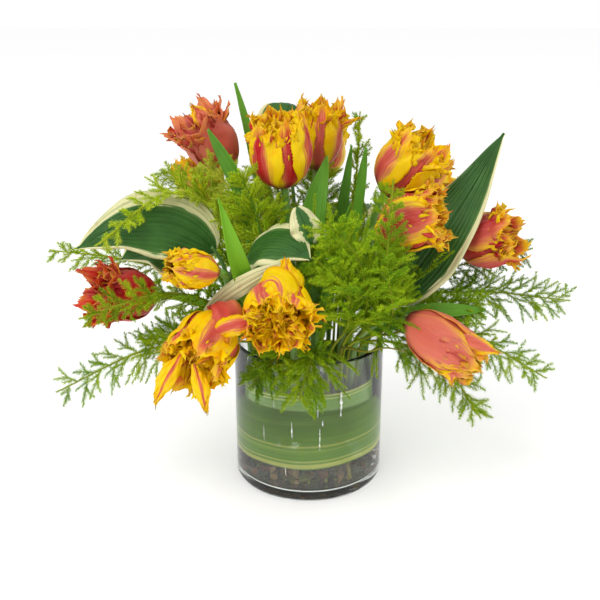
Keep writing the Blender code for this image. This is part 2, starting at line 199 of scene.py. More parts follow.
# Colours, linear
WHITE = (1.0, 1.0, 1.0)
DEBRIS_SHADE = (0.02, 0.02, 0.008)
# Painted reflection: the grey and white of the streaks on the glass stand in for glints of light
PAINTED_GLINT_GREY = (0.62, 0.68, 0.55)
PAINTED_GLINT_WHITE = (0.95, 0.97, 0.92)
GLASS_TINT = (0.94, 0.96, 0.95)
WATER_TINT = (0.96, 0.97, 0.94)
HOSTA_PALE = (0.16, 0.30, 0.08)
TAN = (0.45, 0.28, 0.12)
STEM_END = (0.50, 0.22, 0.04)
DEBRIS_COLOURS = (
    (0.06, 0.14, 0.02), (0.34, 0.12, 0.03), (0.40, 0.50, 0.03), (0.70, 0.22, 0.12), (0.03, 0.05, 0.02),
    (0.70, 0.36, 0.07), (0.16, 0.32, 0.04), (0.14, 0.05, 0.03),
)
YELLOW = (0.98, 0.60, 0.001)
PALE_YELLOW = (1.0, 0.76, 0.006)
ORANGE = (0.95, 0.30, 0.001)
FRINGE_RED = (0.66, 0.045, 0.006)
CRIMSON = (0.48, 0.008, 0.012)
SALMON = (0.74, 0.16, 0.105)
PURPLE_BASE = (0.085, 0.003, 0.020)
CREAM = (0.80, 0.76, 0.42)
HOSTA_DARK = (0.016, 0.078, 0.012)
HOSTA_LIGHT = (0.062, 0.205, 0.026)
TULIP_GREEN = (0.045, 0.165, 0.018)
TULIP_GREEN_LIGHT = (0.15, 0.38, 0.035)
LIME = (0.22, 0.50, 0.004)
FERN_DARK = (0.060, 0.190, 0.008)
FERN_MID = (0.24, 0.47, 0.010)
FERN_LIME = (0.56, 0.74, 0.016)
FERN_PALE = (0.66, 0.76, 0.10)
TWIG_GOLD = (0.30, 0.20, 0.030)
STEM_GREEN = (0.22, 0.36, 0.09)
LINER_GREEN = (0.190, 0.400, 0.024)
LINER_PALE = (0.44, 0.72, 0.07)
LINER_STRIPE = (0.80, 0.78, 0.16)

# name: slot ring and angle of the stem, points between the mouth and the bloom, bloom's base, direction,
# length, largest radius, the lip's radius as a share of it, and the bloom's looks: turn of the petals in
# degrees, flame width, share of salmon in the flames, share of orange in the ground, how much the outer
# petals flare, and how many rows of petals fill the heart
TULIPS = {
    "top": (
        "inner", 235, [(-14, -16, 70)], (-20, -15, 135), (-5, -2, 52), 58, 24, 0.85,
        (60, 1.0, 0.1, 0.25, 0.0, 4),
    ),
    "top_rear": (
        "inner", 60, [(8, 28, 70)], (6, 40, 137), (3, 0, 50), 58, 20, 0.9, (0, 0.9, 0.8, 0.35, 0.02, 3),
    ),
    "top_left": (
        "middle", 152, [(-48, 27, 80)], (-66, 35, 139), (-29, -10, 44), 58, 21, 1.1,
        (20, 4.0, 0.9, 0.5, 0.22, 2),
    ),
    "top_right": (
        "middle", 5, [(48, 2, 70)], (62, 0, 126), (36, -10, 48), 58, 25, 1.0, (15, 0.9, 0.5, 0.3, 0.0, 4),
    ),
    "right": (
        "middle", 322, [(38, -32, 70)], (54, -46, 110), (50, -16, 17), 54, 23, 1.0,
        (40, 1.8, 0.4, 0.2, -0.08, 4),
    ),
    "far_right": (
        "outer", 10, [(86, 8, 49)], (124, 2, 79), (44, -18, 18), 52, 22, 1.0,
        (10, 2.3, 0.35, 0.2, 0.0, 3),
    ),
    "low_right": (
        "outer", 316, [(55, -54, 35)], (76, -72, 45), (46, -40, -22), 72, 20, 0.6,
        (30, 2.7, 1.0, 0.45, -0.08, 1),
    ),
    "front": (
        "outer", 256, [(-18, -70, 45)], (-24, -91, 71), (2, -58, -11), 46, 25, 1.0,
        (0, 0.8, 0.6, 0.3, -0.04, 5),
    ),
    "low_left": (
        "outer", 230, [(-50, -66, 40)], (-66, -85, 48), (-25, -55, -19), 60, 24, 1.0,
        (50, 0.8, 0.5, 0.35, 0.0, 5),
    ),
    "small_left": (
        "middle", 216, [(-62, -52, 55)], (-69, -92, 90), (-37, -25, 13), 42, 14, 0.6,
        (0, 0.6, 0.8, 0.05, -0.12, 1),
    ),
    "far_left": (
        "outer", 182, [(-82, -18, 35)], (-124, -30, 49), (-45, -30, 12), 58, 21, 1.1,
        (30, 4.0, 0.1, 0.6, 0.18, 2),
    ),
    "rear_left": (
        "middle", 132, [(-56, 46, 60)], (-84, 60, 100), (-20, 12, 40), 48, 20, 0.9,
        (0, 1.1, 0.8, 0.3, 0.0, 3),
    ),
    "rear": (
        "middle", 92, [(2, 62, 70)], (6, 92, 115), (5, 30, 40), 54, 24, 0.95,
        (25, 0.9, 0.4, 0.2, 0.05, 4),
    ),
    "rear_right": (
        "outer", 42, [(62, 58, 50)], (84, 82, 87), (38, 32, 26), 56, 24, 1.0,
        (5, 1.0, 0.5, 0.25, 0.05, 4),
    ),
}

# name: slot ring and angle, points of the petiole, points of the blade, widest width, the way its upper
# face looks, bend of its margins in degrees, and the cream margins' widths on its left and right
HOSTAS = {
    "left": (
        "outer", 194, [(-62, -18, 44)],
        [(-76, -20, 83), (-108, -30, 109), (-145, -42, 111), (-180, -50, 95)], 62, (0.0, -0.75, 0.65),
        -8, 0.1, 0.45,
    ),
    "left_rear": (
        "outer", 170, [(-66, 2, 35)], [(-84, 8, 63), (-110, 10, 80), (-134, 12, 80), (-158, 14, 65)], 60,
        (-0.1, -0.8, 0.6), -8, 0.15, 0.35,
    ),
    "front": (
        "middle", 238, [(-40, -26, 48)],
        [(-48, -38, 83), (-32, -59, 102), (-15, -79, 106), (0, -93, 100)], 55, (-0.05, -0.55, 0.83), -10,
        0.3, 0.25,
    ),
    "right": (
        "outer", 350, [(60, -22, 30)], [(68, -30, 43), (94, -24, 79), (124, -10, 121), (156, 8, 173)],
        54, (-0.45, -0.85, 0.3), 10, 0.02, 0.17,
    ),
    "top": (
        "inner", 120, [(-10, 40, 70)], [(-14, 64, 115), (-20, 78, 155), (-17, 94, 180), (-10, 118, 170)],
        60, (0.0, -0.5, 0.86), -10, 0.1, 0.25,
    ),
    "rear": (
        "outer", 82, [(10, 74, 43)], [(20, 90, 67), (34, 118, 83), (44, 146, 79), (52, 170, 61)], 62,
        (0.1, 0.4, 0.9), -12, 0.25, 0.25,
    ),
}

# Turned-over parts of a hosta leaf's margin: points, width, the way it looks, and its cream margins
HOSTA_FLAPS = {
    "front": [
        ([(-79, -84, 55), (-61, -88, 71), (-45, -90, 82), (-21, -92, 96)], 15, (0.2, -0.9, 0.3), 1.4, 1.4),
        ([(1, -78, 107), (-3, -75, 119), (-10, -68, 133)], 25, (0.1, -0.9, 0.4), 0.62, 0.62),
    ],
}

# Loose outer petals that stand away from a bloom: points from root to tip, width and flame width
STRAYS = {
    "front": [
        ([(-20, -100, 69), (-16, -106, 86), (-18, -100, 102)], 24, 0.5),
        ([(-40, -124, 62), (-57, -126, 61), (-77, -114, 44)], 15, 1.3),
        ([(-38, -100, 76), (-24, -122, 88), (-20, -136, 78)], 30, 0.0),
    ],
    "low_left": [
        ([(-92, -128, 42), (-104, -140, 24), (-112, -138, 6)], 13, 0.3),
        ([(-84, -132, 34), (-78, -141, 18), (-76, -136, -2)], 12, 0.3),
        ([(-74, -92, 61), (-62, -112, 62), (-60, -124, 48)], 28, 3.0),
    ],
    "low_right": [
        ([(110, -106, 46), (123, -114, 41), (138, -112, 34)], 13, 2.0),
        ([(100, -104, 34), (104, -112, 22), (106, -110, 8)], 13, 1.0),
    ],
    "right": [([(60, -60, 100), (54, -68, 113), (57, -62, 127)], 11, 2.5)],
    "top_rear": [([(18, 36, 158), (29, 30, 176), (41, 26, 182)], 5, 0.8)],
    "top_left": [([(-76, 24, 170), (-86, 18, 184), (-94, 14, 194)], 14, 2.5)],
}

# name: slot ring and angle, points, widest width, the way its inner face looks, and how lime it is
TULIP_LEAVES = {
    "tall_left": (
        "inner", 175, [(-26, 8, 65), (-46, 22, 155), (-60, 28, 210)], 18, (0.5, -0.85, 0.1), 0.35,
    ),
    "left": (
        "middle", 190, [(-38, -16, 65), (-54, -22, 137), (-78, -26, 183)], 25, (-0.5, -0.85, 0.2), 0.15,
    ),
    "lime": ("outer", 243, [(-42, -66, 45), (-55, -85, 97), (-67, -82, 143)], 23, (0.5, -0.8, 0.2), 1.0),
    "centre": ("inner", 290, [(2, -28, 65), (4, -24, 115), (14, -12, 159)], 31, (-0.2, -0.95, 0.2), 0.3),
    "centre_rear": ("inner", 5, [(20, 4, 65), (28, 6, 115), (34, 8, 163)], 15, (-0.2, -0.95, 0.2), 0.1),
    "centre_right": (
        "middle", 342, [(34, -14, 65), (40, -17, 120), (44, -18, 167)], 17, (-0.6, -0.8, 0.1), 0.3,
    ),
    "centre_low": (
        "middle", 282, [(12, -46, 45), (20, -50, 90), (32, -46, 131)], 18, (0.3, -0.9, 0.2), 0.6,
    ),
    "right": ("outer", 338, [(66, -40, 29), (102, -52, 43), (140, -48, 43)], 22, (0.1, -0.75, 0.6), 0.3),
}

# name: slot ring and angle, points, bare share, side branches, longest one, the way the frond's face
# looks, sag of its branches, and its colour from dark (0) over mid green (1) to lime (2) and gold (3)
FERNS = {
    "left_low": (
        "outer", 217, [(-64, -50, 17), (-124, -70, 19), (-196, -90, -9)], 0.35, 6, 42, (0, -0.9, 0.4), 8,
        1.2,
    ),
    "left_mid": (
        "outer", 206, [(-60, -34, 29), (-106, -74, 67), (-172, -98, 55)], 0.42, 6, 36, (0, -1, 0.1), -4,
        1.2,
    ),
    "left_arch": (
        "middle", 172, [(-40, 0, 71), (-106, -20, 131), (-160, -76, 105)], 0.45, 6, 28, (0, -0.5, 0.9),
        0, 2.1,
    ),
    "left_tip": (
        "outer", 156, [(-70, 28, 27), (-150, 32, 57), (-222, 30, 68)], 0.5, 5, 36, (0, -0.7, 0.7), 6, 1.6,
    ),
    "gold_left": (
        "inner", 205, [(-30, -10, 90), (-52, -4, 120), (-88, 4, 150)], 0.4, 6, 40, (0, -0.9, 0.3), 0, 2.4,
    ),
    "top": ("middle", 40, [(32, 32, 75), (40, 36, 135), (42, 38, 185)], 0.4, 6, 24, (0.8, -0.6, 0), 0, 1.5),
    "centre_tall": (
        "outer", 303, [(62, -72, 40), (57, -86, 97), (60, -82, 157)], 0.35, 6, 34, (0, -1, 0.2), 4, 1.1,
    ),
    "centre_spray": (
        "outer", 289, [(30, -70, 40), (24, -90, 81), (2, -92, 101)], 0.25, 7, 40, (0, -0.95, 0.3), 6,
        1.25,
    ),
    "front_drape": (
        "outer", 270, [(4, -70, 17), (0, -88, 15), (-8, -96, -13)], 0.25, 6, 46, (0, -0.95, 0.3), 14, 1.2,
    ),
    "right_upper": (
        "middle", 20, [(60, 16, 40), (120, 21, 55), (186, 6, 77)], 0.4, 6, 40, (0, -0.8, 0.5), 4, 0.9,
    ),
    "right_long": (
        "outer", 21, [(72, 20, 23), (140, 16, 35), (220, 0, 33)], 0.45, 7, 48, (0, -0.8, 0.5), 4, 1.2,
    ),
    "right_low": (
        "outer", 0, [(74, -12, 17), (130, -34, 15), (190, -60, -11)], 0.35, 7, 44, (0, -0.7, 0.7), 8, 1.3,
    ),
    "right_drop": (
        "outer", 327, [(70, -44, 13), (108, -64, -1), (136, -80, -37)], 0.3, 6, 38, (0, -0.8, 0.5), 8,
        1.4,
    ),
    "rear_left": (
        "outer", 128, [(-50, 68, 31), (-92, 112, 53), (-124, 150, 45)], 0.35, 7, 46, (0, 0.6, 0.8), 8,
        1.2,
    ),
    "rear_right": (
        "outer", 62, [(40, 74, 27), (84, 116, 43), (130, 146, 31)], 0.35, 7, 46, (0, 0.6, 0.8), 8, 1.0,
    ),
}

# More sprays like those above that stand in front of or behind them, with no CAD node of their own
MORE_FERNS = {
    "gold_front": (
        "inner", 225, [(-26, -20, 70), (-40, -26, 110), (-52, -30, 150)],
        0.35, 7, 44, (0, -1, 0.2), 2, 1.7,
    ),
    "gold_side": (
        "middle", 200, [(-50, -6, 80), (-80, -2, 118), (-118, 0, 146)],
        0.35, 7, 38, (0, -1, 0.4), 2, 1.9,
    ),
    "gold_rear": (
        "inner", 150, [(-20, 30, 80), (-34, 50, 120), (-44, 64, 158)],
        0.4, 6, 34, (0, -1, 0.2), 0, 1.5,
    ),
    "mass": (
        "outer", 300, [(44, -74, 60), (34, -84, 100), (12, -90, 128)],
        0.2, 9, 50, (0, -1, 0.2), 0, 1.15,
    ),
    "mass_right": (
        "outer", 310, [(50, -60, 40), (60, -66, 80), (66, -60, 120)],
        0.25, 8, 40, (0, -1, 0.2), 2, 0.9,
    ),
    "rim_twig": (
        "outer", 300, [(30, -66, 18), (44, -76, 19), (58, -80, 24), (76, -84, 22)],
        0.95, 1, 12, (0, -1, 0.2), 4, 0.2,
    ),
    "under_left": (
        "outer", 200, [(-70, -40, 20), (-100, -60, 30), (-130, -70, 24)],
        0.2, 7, 40, (0, -1, 0.4), 8, 1.0,
    ),
    "under_right": (
        "outer", 345, [(70, -40, 20), (104, -40, 40), (140, -44, 46)],
        0.2, 8, 42, (0, -1, 0.4), 6, 1.1,
    ),
    "drape_left": (
        "outer", 250, [(-20, -70, 20), (-30, -86, 14), (-44, -92, 0)],
        0.2, 6, 34, (0, -1, 0.3), 10, 0.9,
    ),
    "behind": (
        "middle", 90, [(4, 50, 70), (8, 66, 110), (10, 76, 150)],
        0.3, 8, 46, (0, 1, 0.2), 2, 1.3,
    ),
    "behind_left": (
        "middle", 140, [(-40, 46, 60), (-66, 70, 90), (-90, 80, 110)],
        0.3, 8, 46, (0, 1, 0.4), 2, 1.4,
    ),
    "behind_right": (
        "middle", 40, [(46, 44, 60), (74, 60, 90), (104, 66, 110)],
        0.3, 8, 46, (0, 1, 0.4), 2, 1.2,
    ),
}


# ---------------------------------------------------------------- small maths


def unit(vectors):
    vectors = np.asarray(vectors, float)
    return vectors / np.maximum(np.linalg.norm(vectors, axis=-1, keepdims=True), 1e-12)


def ramp(values, low, high):
    """A smooth step from 0 at low to 1 at high."""
    t = np.clip((values - low) / (high - low), 0, 1)
    return t * t * (3 - 2 * t)


def above_mouth(point):
    return np.array(point, float) * MM + np.array((0, 0, SLOT_HEIGHT))


def slot(ring, angle):
    radius = OUTER_RING * RING_SHARES[ring]
    turn = math.radians(angle)
    outward = np.array((math.cos(turn), math.sin(turn), 0))
    return outward * radius * FOOT_SHARE + (0, 0, FOOT_HEIGHT), outward * radius + (0, 0, SLOT_HEIGHT)


def smooth_route(points, start, end, steps):
    """A smooth curve through the points, leaving along start and arriving along end."""
    points = np.asarray(points, float)
    lengths = np.linalg.norm(np.diff(points, axis=0), axis=1)
    slopes = [unit(start)]
    for index in range(1, len(points) - 1):
        before = (points[index] - points[index - 1]) / lengths[index - 1]
        after = (points[index + 1] - points[index]) / lengths[index]
        share = lengths[index] / (lengths[index - 1] + lengths[index])
        slopes.append(before * share + after * (1 - share))
    slopes.append(unit(end))
    route = [points[0]]
    for index, length in enumerate(lengths):
        t = (np.arange(1, steps + 1) / steps)[:, None]
        low = points[index] * (2 * t**3 - 3 * t**2 + 1) + slopes[index] * length * (t**3 - 2 * t**2 + t)
        high = points[index + 1] * (3 * t**2 - 2 * t**3) + slopes[index + 1] * length * (t**3 - t**2)
        route += list(low + high)
    return np.array(route)


def free_route(points, steps):
    """A smooth curve through the points that leaves and arrives along its own chords."""
    return smooth_route(points, points[1] - points[0], points[-1] - points[-2], steps)


def slot_route(ring, angle, points, steps, steps_below, aim=None):
    """The points from the foot to just under the mouth, and the curve from the mouth through points."""
    foot, mouth = slot(ring, angle)
    bends = [mouth] + [above_mouth(point) for point in points]
    end = bends[-1] - bends[-2] if aim is None else aim
    below = foot + (mouth - foot) * np.linspace(0, 1, steps_below + 1)[:-1, None]
    return below, smooth_route(bends, mouth - foot, end, steps)


def directions(route):
    return unit(np.gradient(route, axis=0))


def on_circle(radius, turn, height):
    return np.array((radius * math.cos(turn), radius * math.sin(turn), height))


def sheet_places(rows, columns, low=0):
    """Where each point of a grid lies along (low to 1) and across (-1 to 1) its sheet."""
    return np.meshgrid(np.linspace(low, 1, rows), np.linspace(-1, 1, columns), indexing="ij")


# ---------------------------------------------------------------- mesh building


def spread(values, count):
    """Three values for each of count points, from one set of three or from a grid of them."""
    values = np.asarray(values, float).reshape(-1, 3)
    return np.broadcast_to(values, (count, 3)) if len(values) == 1 else values


class Pile:
    """Points, faces and per-point attributes, three values each, of closed shapes that become one mesh."""

    def __init__(self):
        self.points = []
        self.quads = []
        self.triangles = []
        self.attributes = {}
        self.count = 0

    def add(self, points, quads=None, triangles=None, **attributes):
        points = np.asarray(points, float).reshape(-1, 3)
        if quads is not None and len(quads):
            self.quads.append(np.asarray(quads, int) + self.count)
        if triangles is not None and len(triangles):
            self.triangles.append(np.asarray(triangles, int) + self.count)
        self.points.append(points)
        for name, values in attributes.items():
            self.attributes.setdefault(name, []).append(spread(values, len(points)))
        self.count += len(points)

    def object(self, name, material):
        points = np.concatenate(self.points)
        quads = np.concatenate(self.quads) if self.quads else np.zeros((0, 4), int)
        triangles = np.concatenate(self.triangles) if self.triangles else np.zeros((0, 3), int)
        corners = np.concatenate([quads.ravel(), triangles.ravel()]).astype(np.int32)
        sizes = np.concatenate([np.full(len(quads), 4), np.full(len(triangles), 3)])
        starts = np.concatenate([[0], np.cumsum(sizes)[:-1]]).astype(np.int32)
        mesh = bpy.data.meshes.new(name)
        mesh.vertices.add(len(points))
        mesh.vertices.foreach_set("co", points.astype(np.float32).ravel())
        mesh.loops.add(len(corners))
        mesh.loops.foreach_set("vertex_index", corners)
        mesh.polygons.add(len(sizes))
        mesh.polygons.foreach_set("loop_start", starts)
        mesh.polygons.foreach_set("use_smooth", np.ones(len(sizes), bool))
        mesh.update(calc_edges=True)
        for attribute, values in self.attributes.items():
            values = np.concatenate(values).astype(np.float32)
            layer = mesh.attributes.new(attribute, "FLOAT_VECTOR", "POINT")
            layer.data.foreach_set("vector", values.ravel())
        mesh.materials.append(material)
        made = bpy.data.objects.new(name, mesh)
        bpy.context.scene.collection.objects.link(made)
        return made


def grid_faces(rows, columns, wrap=False):
    """Quads between neighbouring points of a grid, whose last column meets the first where it wraps."""
    row, column = np.meshgrid(np.arange(rows - 1), np.arange(columns - (not wrap)), indexing="ij")
    after = (column + 1) % columns
    low = row * columns
    high = low + columns
    return np.stack([low + column, low + after, high + after, high + column], -1).reshape(-1, 4)


def cap_faces(rings, sides):
    """Fans from the first and last of these rings to the two points that follow the rings."""
    start = np.arange(sides)
    after = (start + 1) % sides
    last = (rings - 1) * sides
    return np.concatenate([
        np.stack([np.full(sides, rings * sides), after, start], -1),
        np.stack([np.full(sides, rings * sides + 1), last + start, last + after], -1),
    ])


def add_sheet(pile, grid, half_thickness, **attributes):
    """A closed thin sheet around a grid of points, with half_thickness to each side."""
    rows, columns = grid.shape[:2]
    normals = unit(np.cross(np.gradient(grid, axis=1), np.gradient(grid, axis=0)))
    offset = normals * np.broadcast_to(half_thickness, (rows, columns))[..., None]
    points = np.concatenate([(grid + offset).reshape(-1, 3), (grid - offset).reshape(-1, 3)])
    over = grid_faces(rows, columns)
    size = rows * columns
    edge = np.concatenate([
        np.arange(columns),
        np.arange(2, rows + 1) * columns - 1,
        (rows - 1) * columns + np.arange(columns - 2, -1, -1),
        np.arange(rows - 2, 0, -1) * columns,
    ])
    after = np.roll(edge, -1)
    rim = np.stack([edge, edge + size, after + size, after], -1)
    doubled = {name: np.tile(spread(values, size), (2, 1)) for name, values in attributes.items()}
    pile.add(points, quads=np.concatenate([over, over[:, ::-1] + size, rim]), **doubled)


def add_tube(pile, route, radii, sides, **attributes):
    """A closed round tube along a route."""
    along = directions(route)
    across = np.cross(along[0], (0, 0, 1.0))
    across = unit(across if np.linalg.norm(across) > 0.1 else np.cross(along[0], (1.0, 0, 0)))
    turns = 2 * np.pi * np.arange(sides) / sides
    rings = []
    for point, ahead, radius in zip(route, along, np.broadcast_to(radii, len(route))):
        across = unit(across - ahead * (across @ ahead))
        beside = np.cross(ahead, across)
        rings.append(point + (np.outer(np.cos(turns), across) + np.outer(np.sin(turns), beside)) * radius)
    count = len(route)
    points = np.concatenate(rings + [route[:1], route[-1:]])
    values = {}
    for name, value in attributes.items():
        value = spread(value, count)
        values[name] = np.concatenate([np.repeat(value, sides, axis=0), value[:1], value[-1:]])
    quads = grid_faces(count, sides, wrap=True)
    pile.add(points, quads=quads, triangles=cap_faces(count, sides), **values)


def finish_piece(pile, name, material, slot_name, *nodes):
    """Makes the pile's object, in place of these CAD nodes."""
    made = pile.object(name, material)
    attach(made, "root")
    if nodes:
        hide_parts(*nodes)
    return made


# ---------------------------------------------------------------- materials


class Look:
    """A material and short ways to add nodes to it."""

    def __init__(self, name, roughness, **settings):
        self.material = bpy.data.materials.new(name)
        self.material.use_nodes = True
        self.tree = self.material.node_tree
        self.shader = self.tree.nodes["Principled BSDF"]
        self.shader.inputs["Roughness"].default_value = roughness
        for socket, value in settings.items():
            self.shader.inputs[socket.replace("_", " ")].default_value = value

    def feed(self, value, socket):
        if isinstance(value, bpy.types.NodeSocket):
            self.tree.links.new(value, socket)
        elif isinstance(value, tuple):
            filled = tuple(value) + (1.0,)
            socket.default_value = filled[: len(socket.default_value)]
        else:
            socket.default_value = value

    def math(self, operation, *values):
        node = self.tree.nodes.new("ShaderNodeMath")
        node.operation = operation
        for value, socket in zip(values, node.inputs):
            self.feed(value, socket)
        return node.outputs[0]

    def times(self, first, second):
        return self.math("MULTIPLY", first, second)

    def plus(self, first, second):
        return self.math("ADD", first, second)

    def times_plus(self, first, second, third):
        """The first times the second, plus the third."""
        return self.math("MULTIPLY_ADD", first, second, third)

    def absolute(self, value):
        return self.math("ABSOLUTE", value)

    def at_least_0(self, value):
        return self.math("MAXIMUM", value, 0.0)

    def at_most_1(self, value):
        return self.math("MINIMUM", value, 1.0)

    def within_1(self, value):
        return self.at_most_1(self.at_least_0(value))

    def parts(self, attribute):
        """The three values of a point attribute."""
        reader = self.tree.nodes.new("ShaderNodeAttribute")
        reader.attribute_name = attribute
        parts = self.tree.nodes.new("ShaderNodeSeparateXYZ")
        self.tree.links.new(reader.outputs["Vector"], parts.inputs[0])
        return parts.outputs[0], parts.outputs[1], parts.outputs[2]

    def vector(self, *values):
        node = self.tree.nodes.new("ShaderNodeCombineXYZ")
        for value, socket in zip(values, node.inputs):
            self.feed(value, socket)
        return node.outputs[0]

    def place(self):
        return self.tree.nodes.new("ShaderNodeTexCoord").outputs["Object"]

    def noise(self, vector, scale, detail):
        """Noise between about 0.25 and 0.75."""
        node = self.tree.nodes.new("ShaderNodeTexNoise")
        self.feed(vector, node.inputs["Vector"])
        node.inputs["Scale"].default_value = scale
        node.inputs["Detail"].default_value = detail
        return node.outputs[0]

    def step(self, value, low, high, out_low=0.0, out_high=1.0):
        """out_low below low, out_high above high, and a smooth step between."""
        node = self.tree.nodes.new("ShaderNodeMapRange")
        node.interpolation_type = "SMOOTHSTEP"
        for amount, socket in zip((value, low, high, out_low, out_high), node.inputs):
            self.feed(amount, socket)
        return node.outputs[0]

    def mix(self, share, first, second):
        node = self.tree.nodes.new("ShaderNodeMix")
        node.data_type = "RGBA"
        self.feed(share, node.inputs[0])
        self.feed(first, node.inputs[6])
        self.feed(second, node.inputs[7])
        return node.outputs[2]

    def ramp(self, value, colours):
        """Colours spread evenly over 0 to 1."""
        node = self.tree.nodes.new("ShaderNodeValToRGB")
        elements = node.color_ramp.elements
        while len(elements) < len(colours):
            elements.new(0.5)
        for index, colour in enumerate(colours):
            elements[index].position = index / (len(colours) - 1)
            elements[index].color = colour + (1.0,)
        self.feed(value, node.inputs[0])
        return node.outputs[0]

    def colour(self, value):
        self.feed(value, self.shader.inputs["Base Color"])
        return self.material

    def let_lamps_through(self, tint):
        """Shadow rays pass through this glass, so that lamps light what is behind it."""
        output = self.tree.nodes["Material Output"]
        path = self.tree.nodes.new("ShaderNodeLightPath")
        clear = self.tree.nodes.new("ShaderNodeBsdfTransparent")
        clear.inputs[0].default_value = tint + (1.0,)
        mix = self.tree.nodes.new("ShaderNodeMixShader")
        self.tree.links.new(path.outputs["Is Shadow Ray"], mix.inputs[0])
        self.tree.links.new(self.shader.outputs[0], mix.inputs[1])
        self.tree.links.new(clear.outputs[0], mix.inputs[2])
        self.tree.links.new(mix.outputs[0], output.inputs["Surface"])
        return self.material


def petal_material():
    """Yellow petals with a feathered crimson and salmon flame, a dark base and red tips on the fringe.

    A wide flame reaches the tip and covers the petal, as on the far left bloom and the one at top left.
    """
    look = Look("petals", 0.42, Subsurface_Weight=0.35, Subsurface_Scale=0.004, Specular_IOR_Level=0.16)
    look.shader.inputs["Subsurface Radius"].default_value = (1.0, 0.75, 0.1)
    along, across, chance = look.parts("petal")
    flame, salmon, orange = look.parts("hues")
    inner, fringe, _ = look.parts("kind")
    seed = look.times(chance, 37.0)
    streak_place = look.vector(look.times(across, 9.0), look.times(along, 1.3), seed)
    streaks = look.noise(streak_place, 1.4, 4.0)
    fine_place = look.vector(look.times(across, 30.0), look.times(along, 2.5), seed)
    fine = look.noise(fine_place, 1.2, 2.0)
    blotch = look.noise(look.vector(across, look.times(along, 2.0), seed), 2.6, 3.0)
    ground_share = look.plus(look.times(orange, 0.7), look.step(blotch, 0.48, 0.66, -0.15, 0.35))
    ground_share = look.at_least_0(ground_share)
    ground = look.mix(look.times(ground_share, look.step(along, 0.1, 0.9, 0.5, 1.0)), YELLOW, ORANGE)
    ground = look.mix(look.step(fine, 0.5, 0.75, 0.0, 0.5), ground, PALE_YELLOW)
    width = look.times(flame, look.step(along, 0.2, 1.0, 0.56, 0.24))
    edge = look.plus(look.absolute(across), look.times_plus(streaks, 0.9, -0.45))
    body = look.step(edge, look.times(width, 0.5), look.times_plus(width, 1.1, 0.12), 1.0, 0.0)
    tip_share = look.math("MAXIMUM", look.step(along, 0.86, 1.0, 1.0, 0.35), look.step(flame, 2.8, 3.6))
    body = look.times(body, tip_share)
    heart = look.step(edge, -0.1, look.times(width, 0.85), 0.0, 1.0)
    softened = look.times_plus(heart, 0.55, look.times_plus(salmon, 0.9, -0.15))
    red = look.mix(look.within_1(softened), CRIMSON, SALMON)
    petal = look.mix(look.at_most_1(body), ground, red)
    base_dark = look.times(look.step(along, 0.02, 0.16, 0.75, 0.0), look.math("SUBTRACT", 1.0, inner))
    petal = look.mix(base_dark, petal, PURPLE_BASE)
    tips = look.times(fringe, look.step(blotch, 0.5, 0.62, 0.0, 0.85))
    petal = look.mix(tips, petal, FRINGE_RED)
    inside = look.times(inner, look.step(along, 0.0, 0.5, 0.35, 0.0))
    return look.colour(look.mix(inside, petal, ORANGE))


def hosta_material():
    """Dark ribbed green with uneven cream margins that run into the green in fingers along the veins."""
    look = Look("hosta_leaf", 0.42, Specular_IOR_Level=0.28)
    along, across, chance = look.parts("leaf")
    left, right, _ = look.parts("margins")
    under = look.parts("side")[0]
    seed = look.times(chance, 23.0)
    finger_place = look.vector(look.times(across, 9.0), look.times(along, 2.2), seed)
    fingers = look.noise(finger_place, 1.0, 4.0)
    wander = look.noise(look.vector(look.times(along, 4.0), seed, 0.0), 1.0, 3.0)
    on_left = look.step(across, -0.02, 0.02, 1.0, 0.0)
    margin = look.times_plus(on_left, look.math("SUBTRACT", left, right), right)
    uneven = look.times_plus(wander, 1.4, 0.3)
    inset = look.math("SUBTRACT", 1.0, look.absolute(across))
    reach = look.plus(inset, look.times_plus(fingers, 0.36, -0.18))
    limit = look.times(margin, uneven)
    cream = look.step(reach, look.math("SUBTRACT", limit, 0.02), look.plus(limit, 0.015), 1.0, 0.0)
    between = look.step(reach, limit, look.plus(limit, 0.16), 0.75, 0.0)
    veins = look.absolute(look.math("SINE", look.times(across, math.pi * HOSTA_VEINS)))
    patches = look.noise(look.place(), 60.0, 3.0)
    shade = look.times_plus(veins, 0.45, look.times_plus(patches, 0.9, -0.35))
    green = look.mix(look.within_1(shade), HOSTA_DARK, HOSTA_LIGHT)
    green = look.mix(look.step(veins, 0.0, 0.22, 0.4, 0.0), green, HOSTA_PALE)
    green = look.mix(look.times(between, 0.6), green, HOSTA_PALE)
    green = look.mix(look.times(under, 0.5), green, HOSTA_PALE)
    pale = look.mix(look.step(fingers, 0.4, 0.7, 0.0, 0.35), CREAM, HOSTA_PALE)
    spots = look.noise(look.place(), 160.0, 2.0)
    pale = look.mix(look.step(spots, 0.66, 0.74, 0.0, 0.3), pale, TAN)
    return look.colour(look.mix(cream, green, pale))


def tulip_leaf_material():
    """Smooth green with fine lengthwise lines, paler towards the base, and lime on young leaves."""
    look = Look("tulip_leaf", 0.42, Specular_IOR_Level=0.22)
    along, across, lime = look.parts("leaf")
    line_place = look.vector(look.times(across, 11.0), look.times(along, 1.5), lime)
    lines = look.noise(line_place, 2.0, 3.0)
    patches = look.noise(look.place(), 45.0, 2.0)
    shade = look.times_plus(lines, 1.6, look.times_plus(patches, 0.8, -0.85))
    green = look.mix(look.within_1(shade), TULIP_GREEN, TULIP_GREEN_LIGHT)
    green = look.mix(lime, green, look.mix(lines, LIME, TULIP_GREEN_LIGHT))
    green = look.mix(look.step(along, 0.0, 0.35, 0.6, 0.0), green, STEM_GREEN)
    rib = look.step(look.absolute(across), 0.0, 0.08, 0.3, 0.0)
    return look.colour(look.mix(rib, green, TULIP_GREEN_LIGHT))


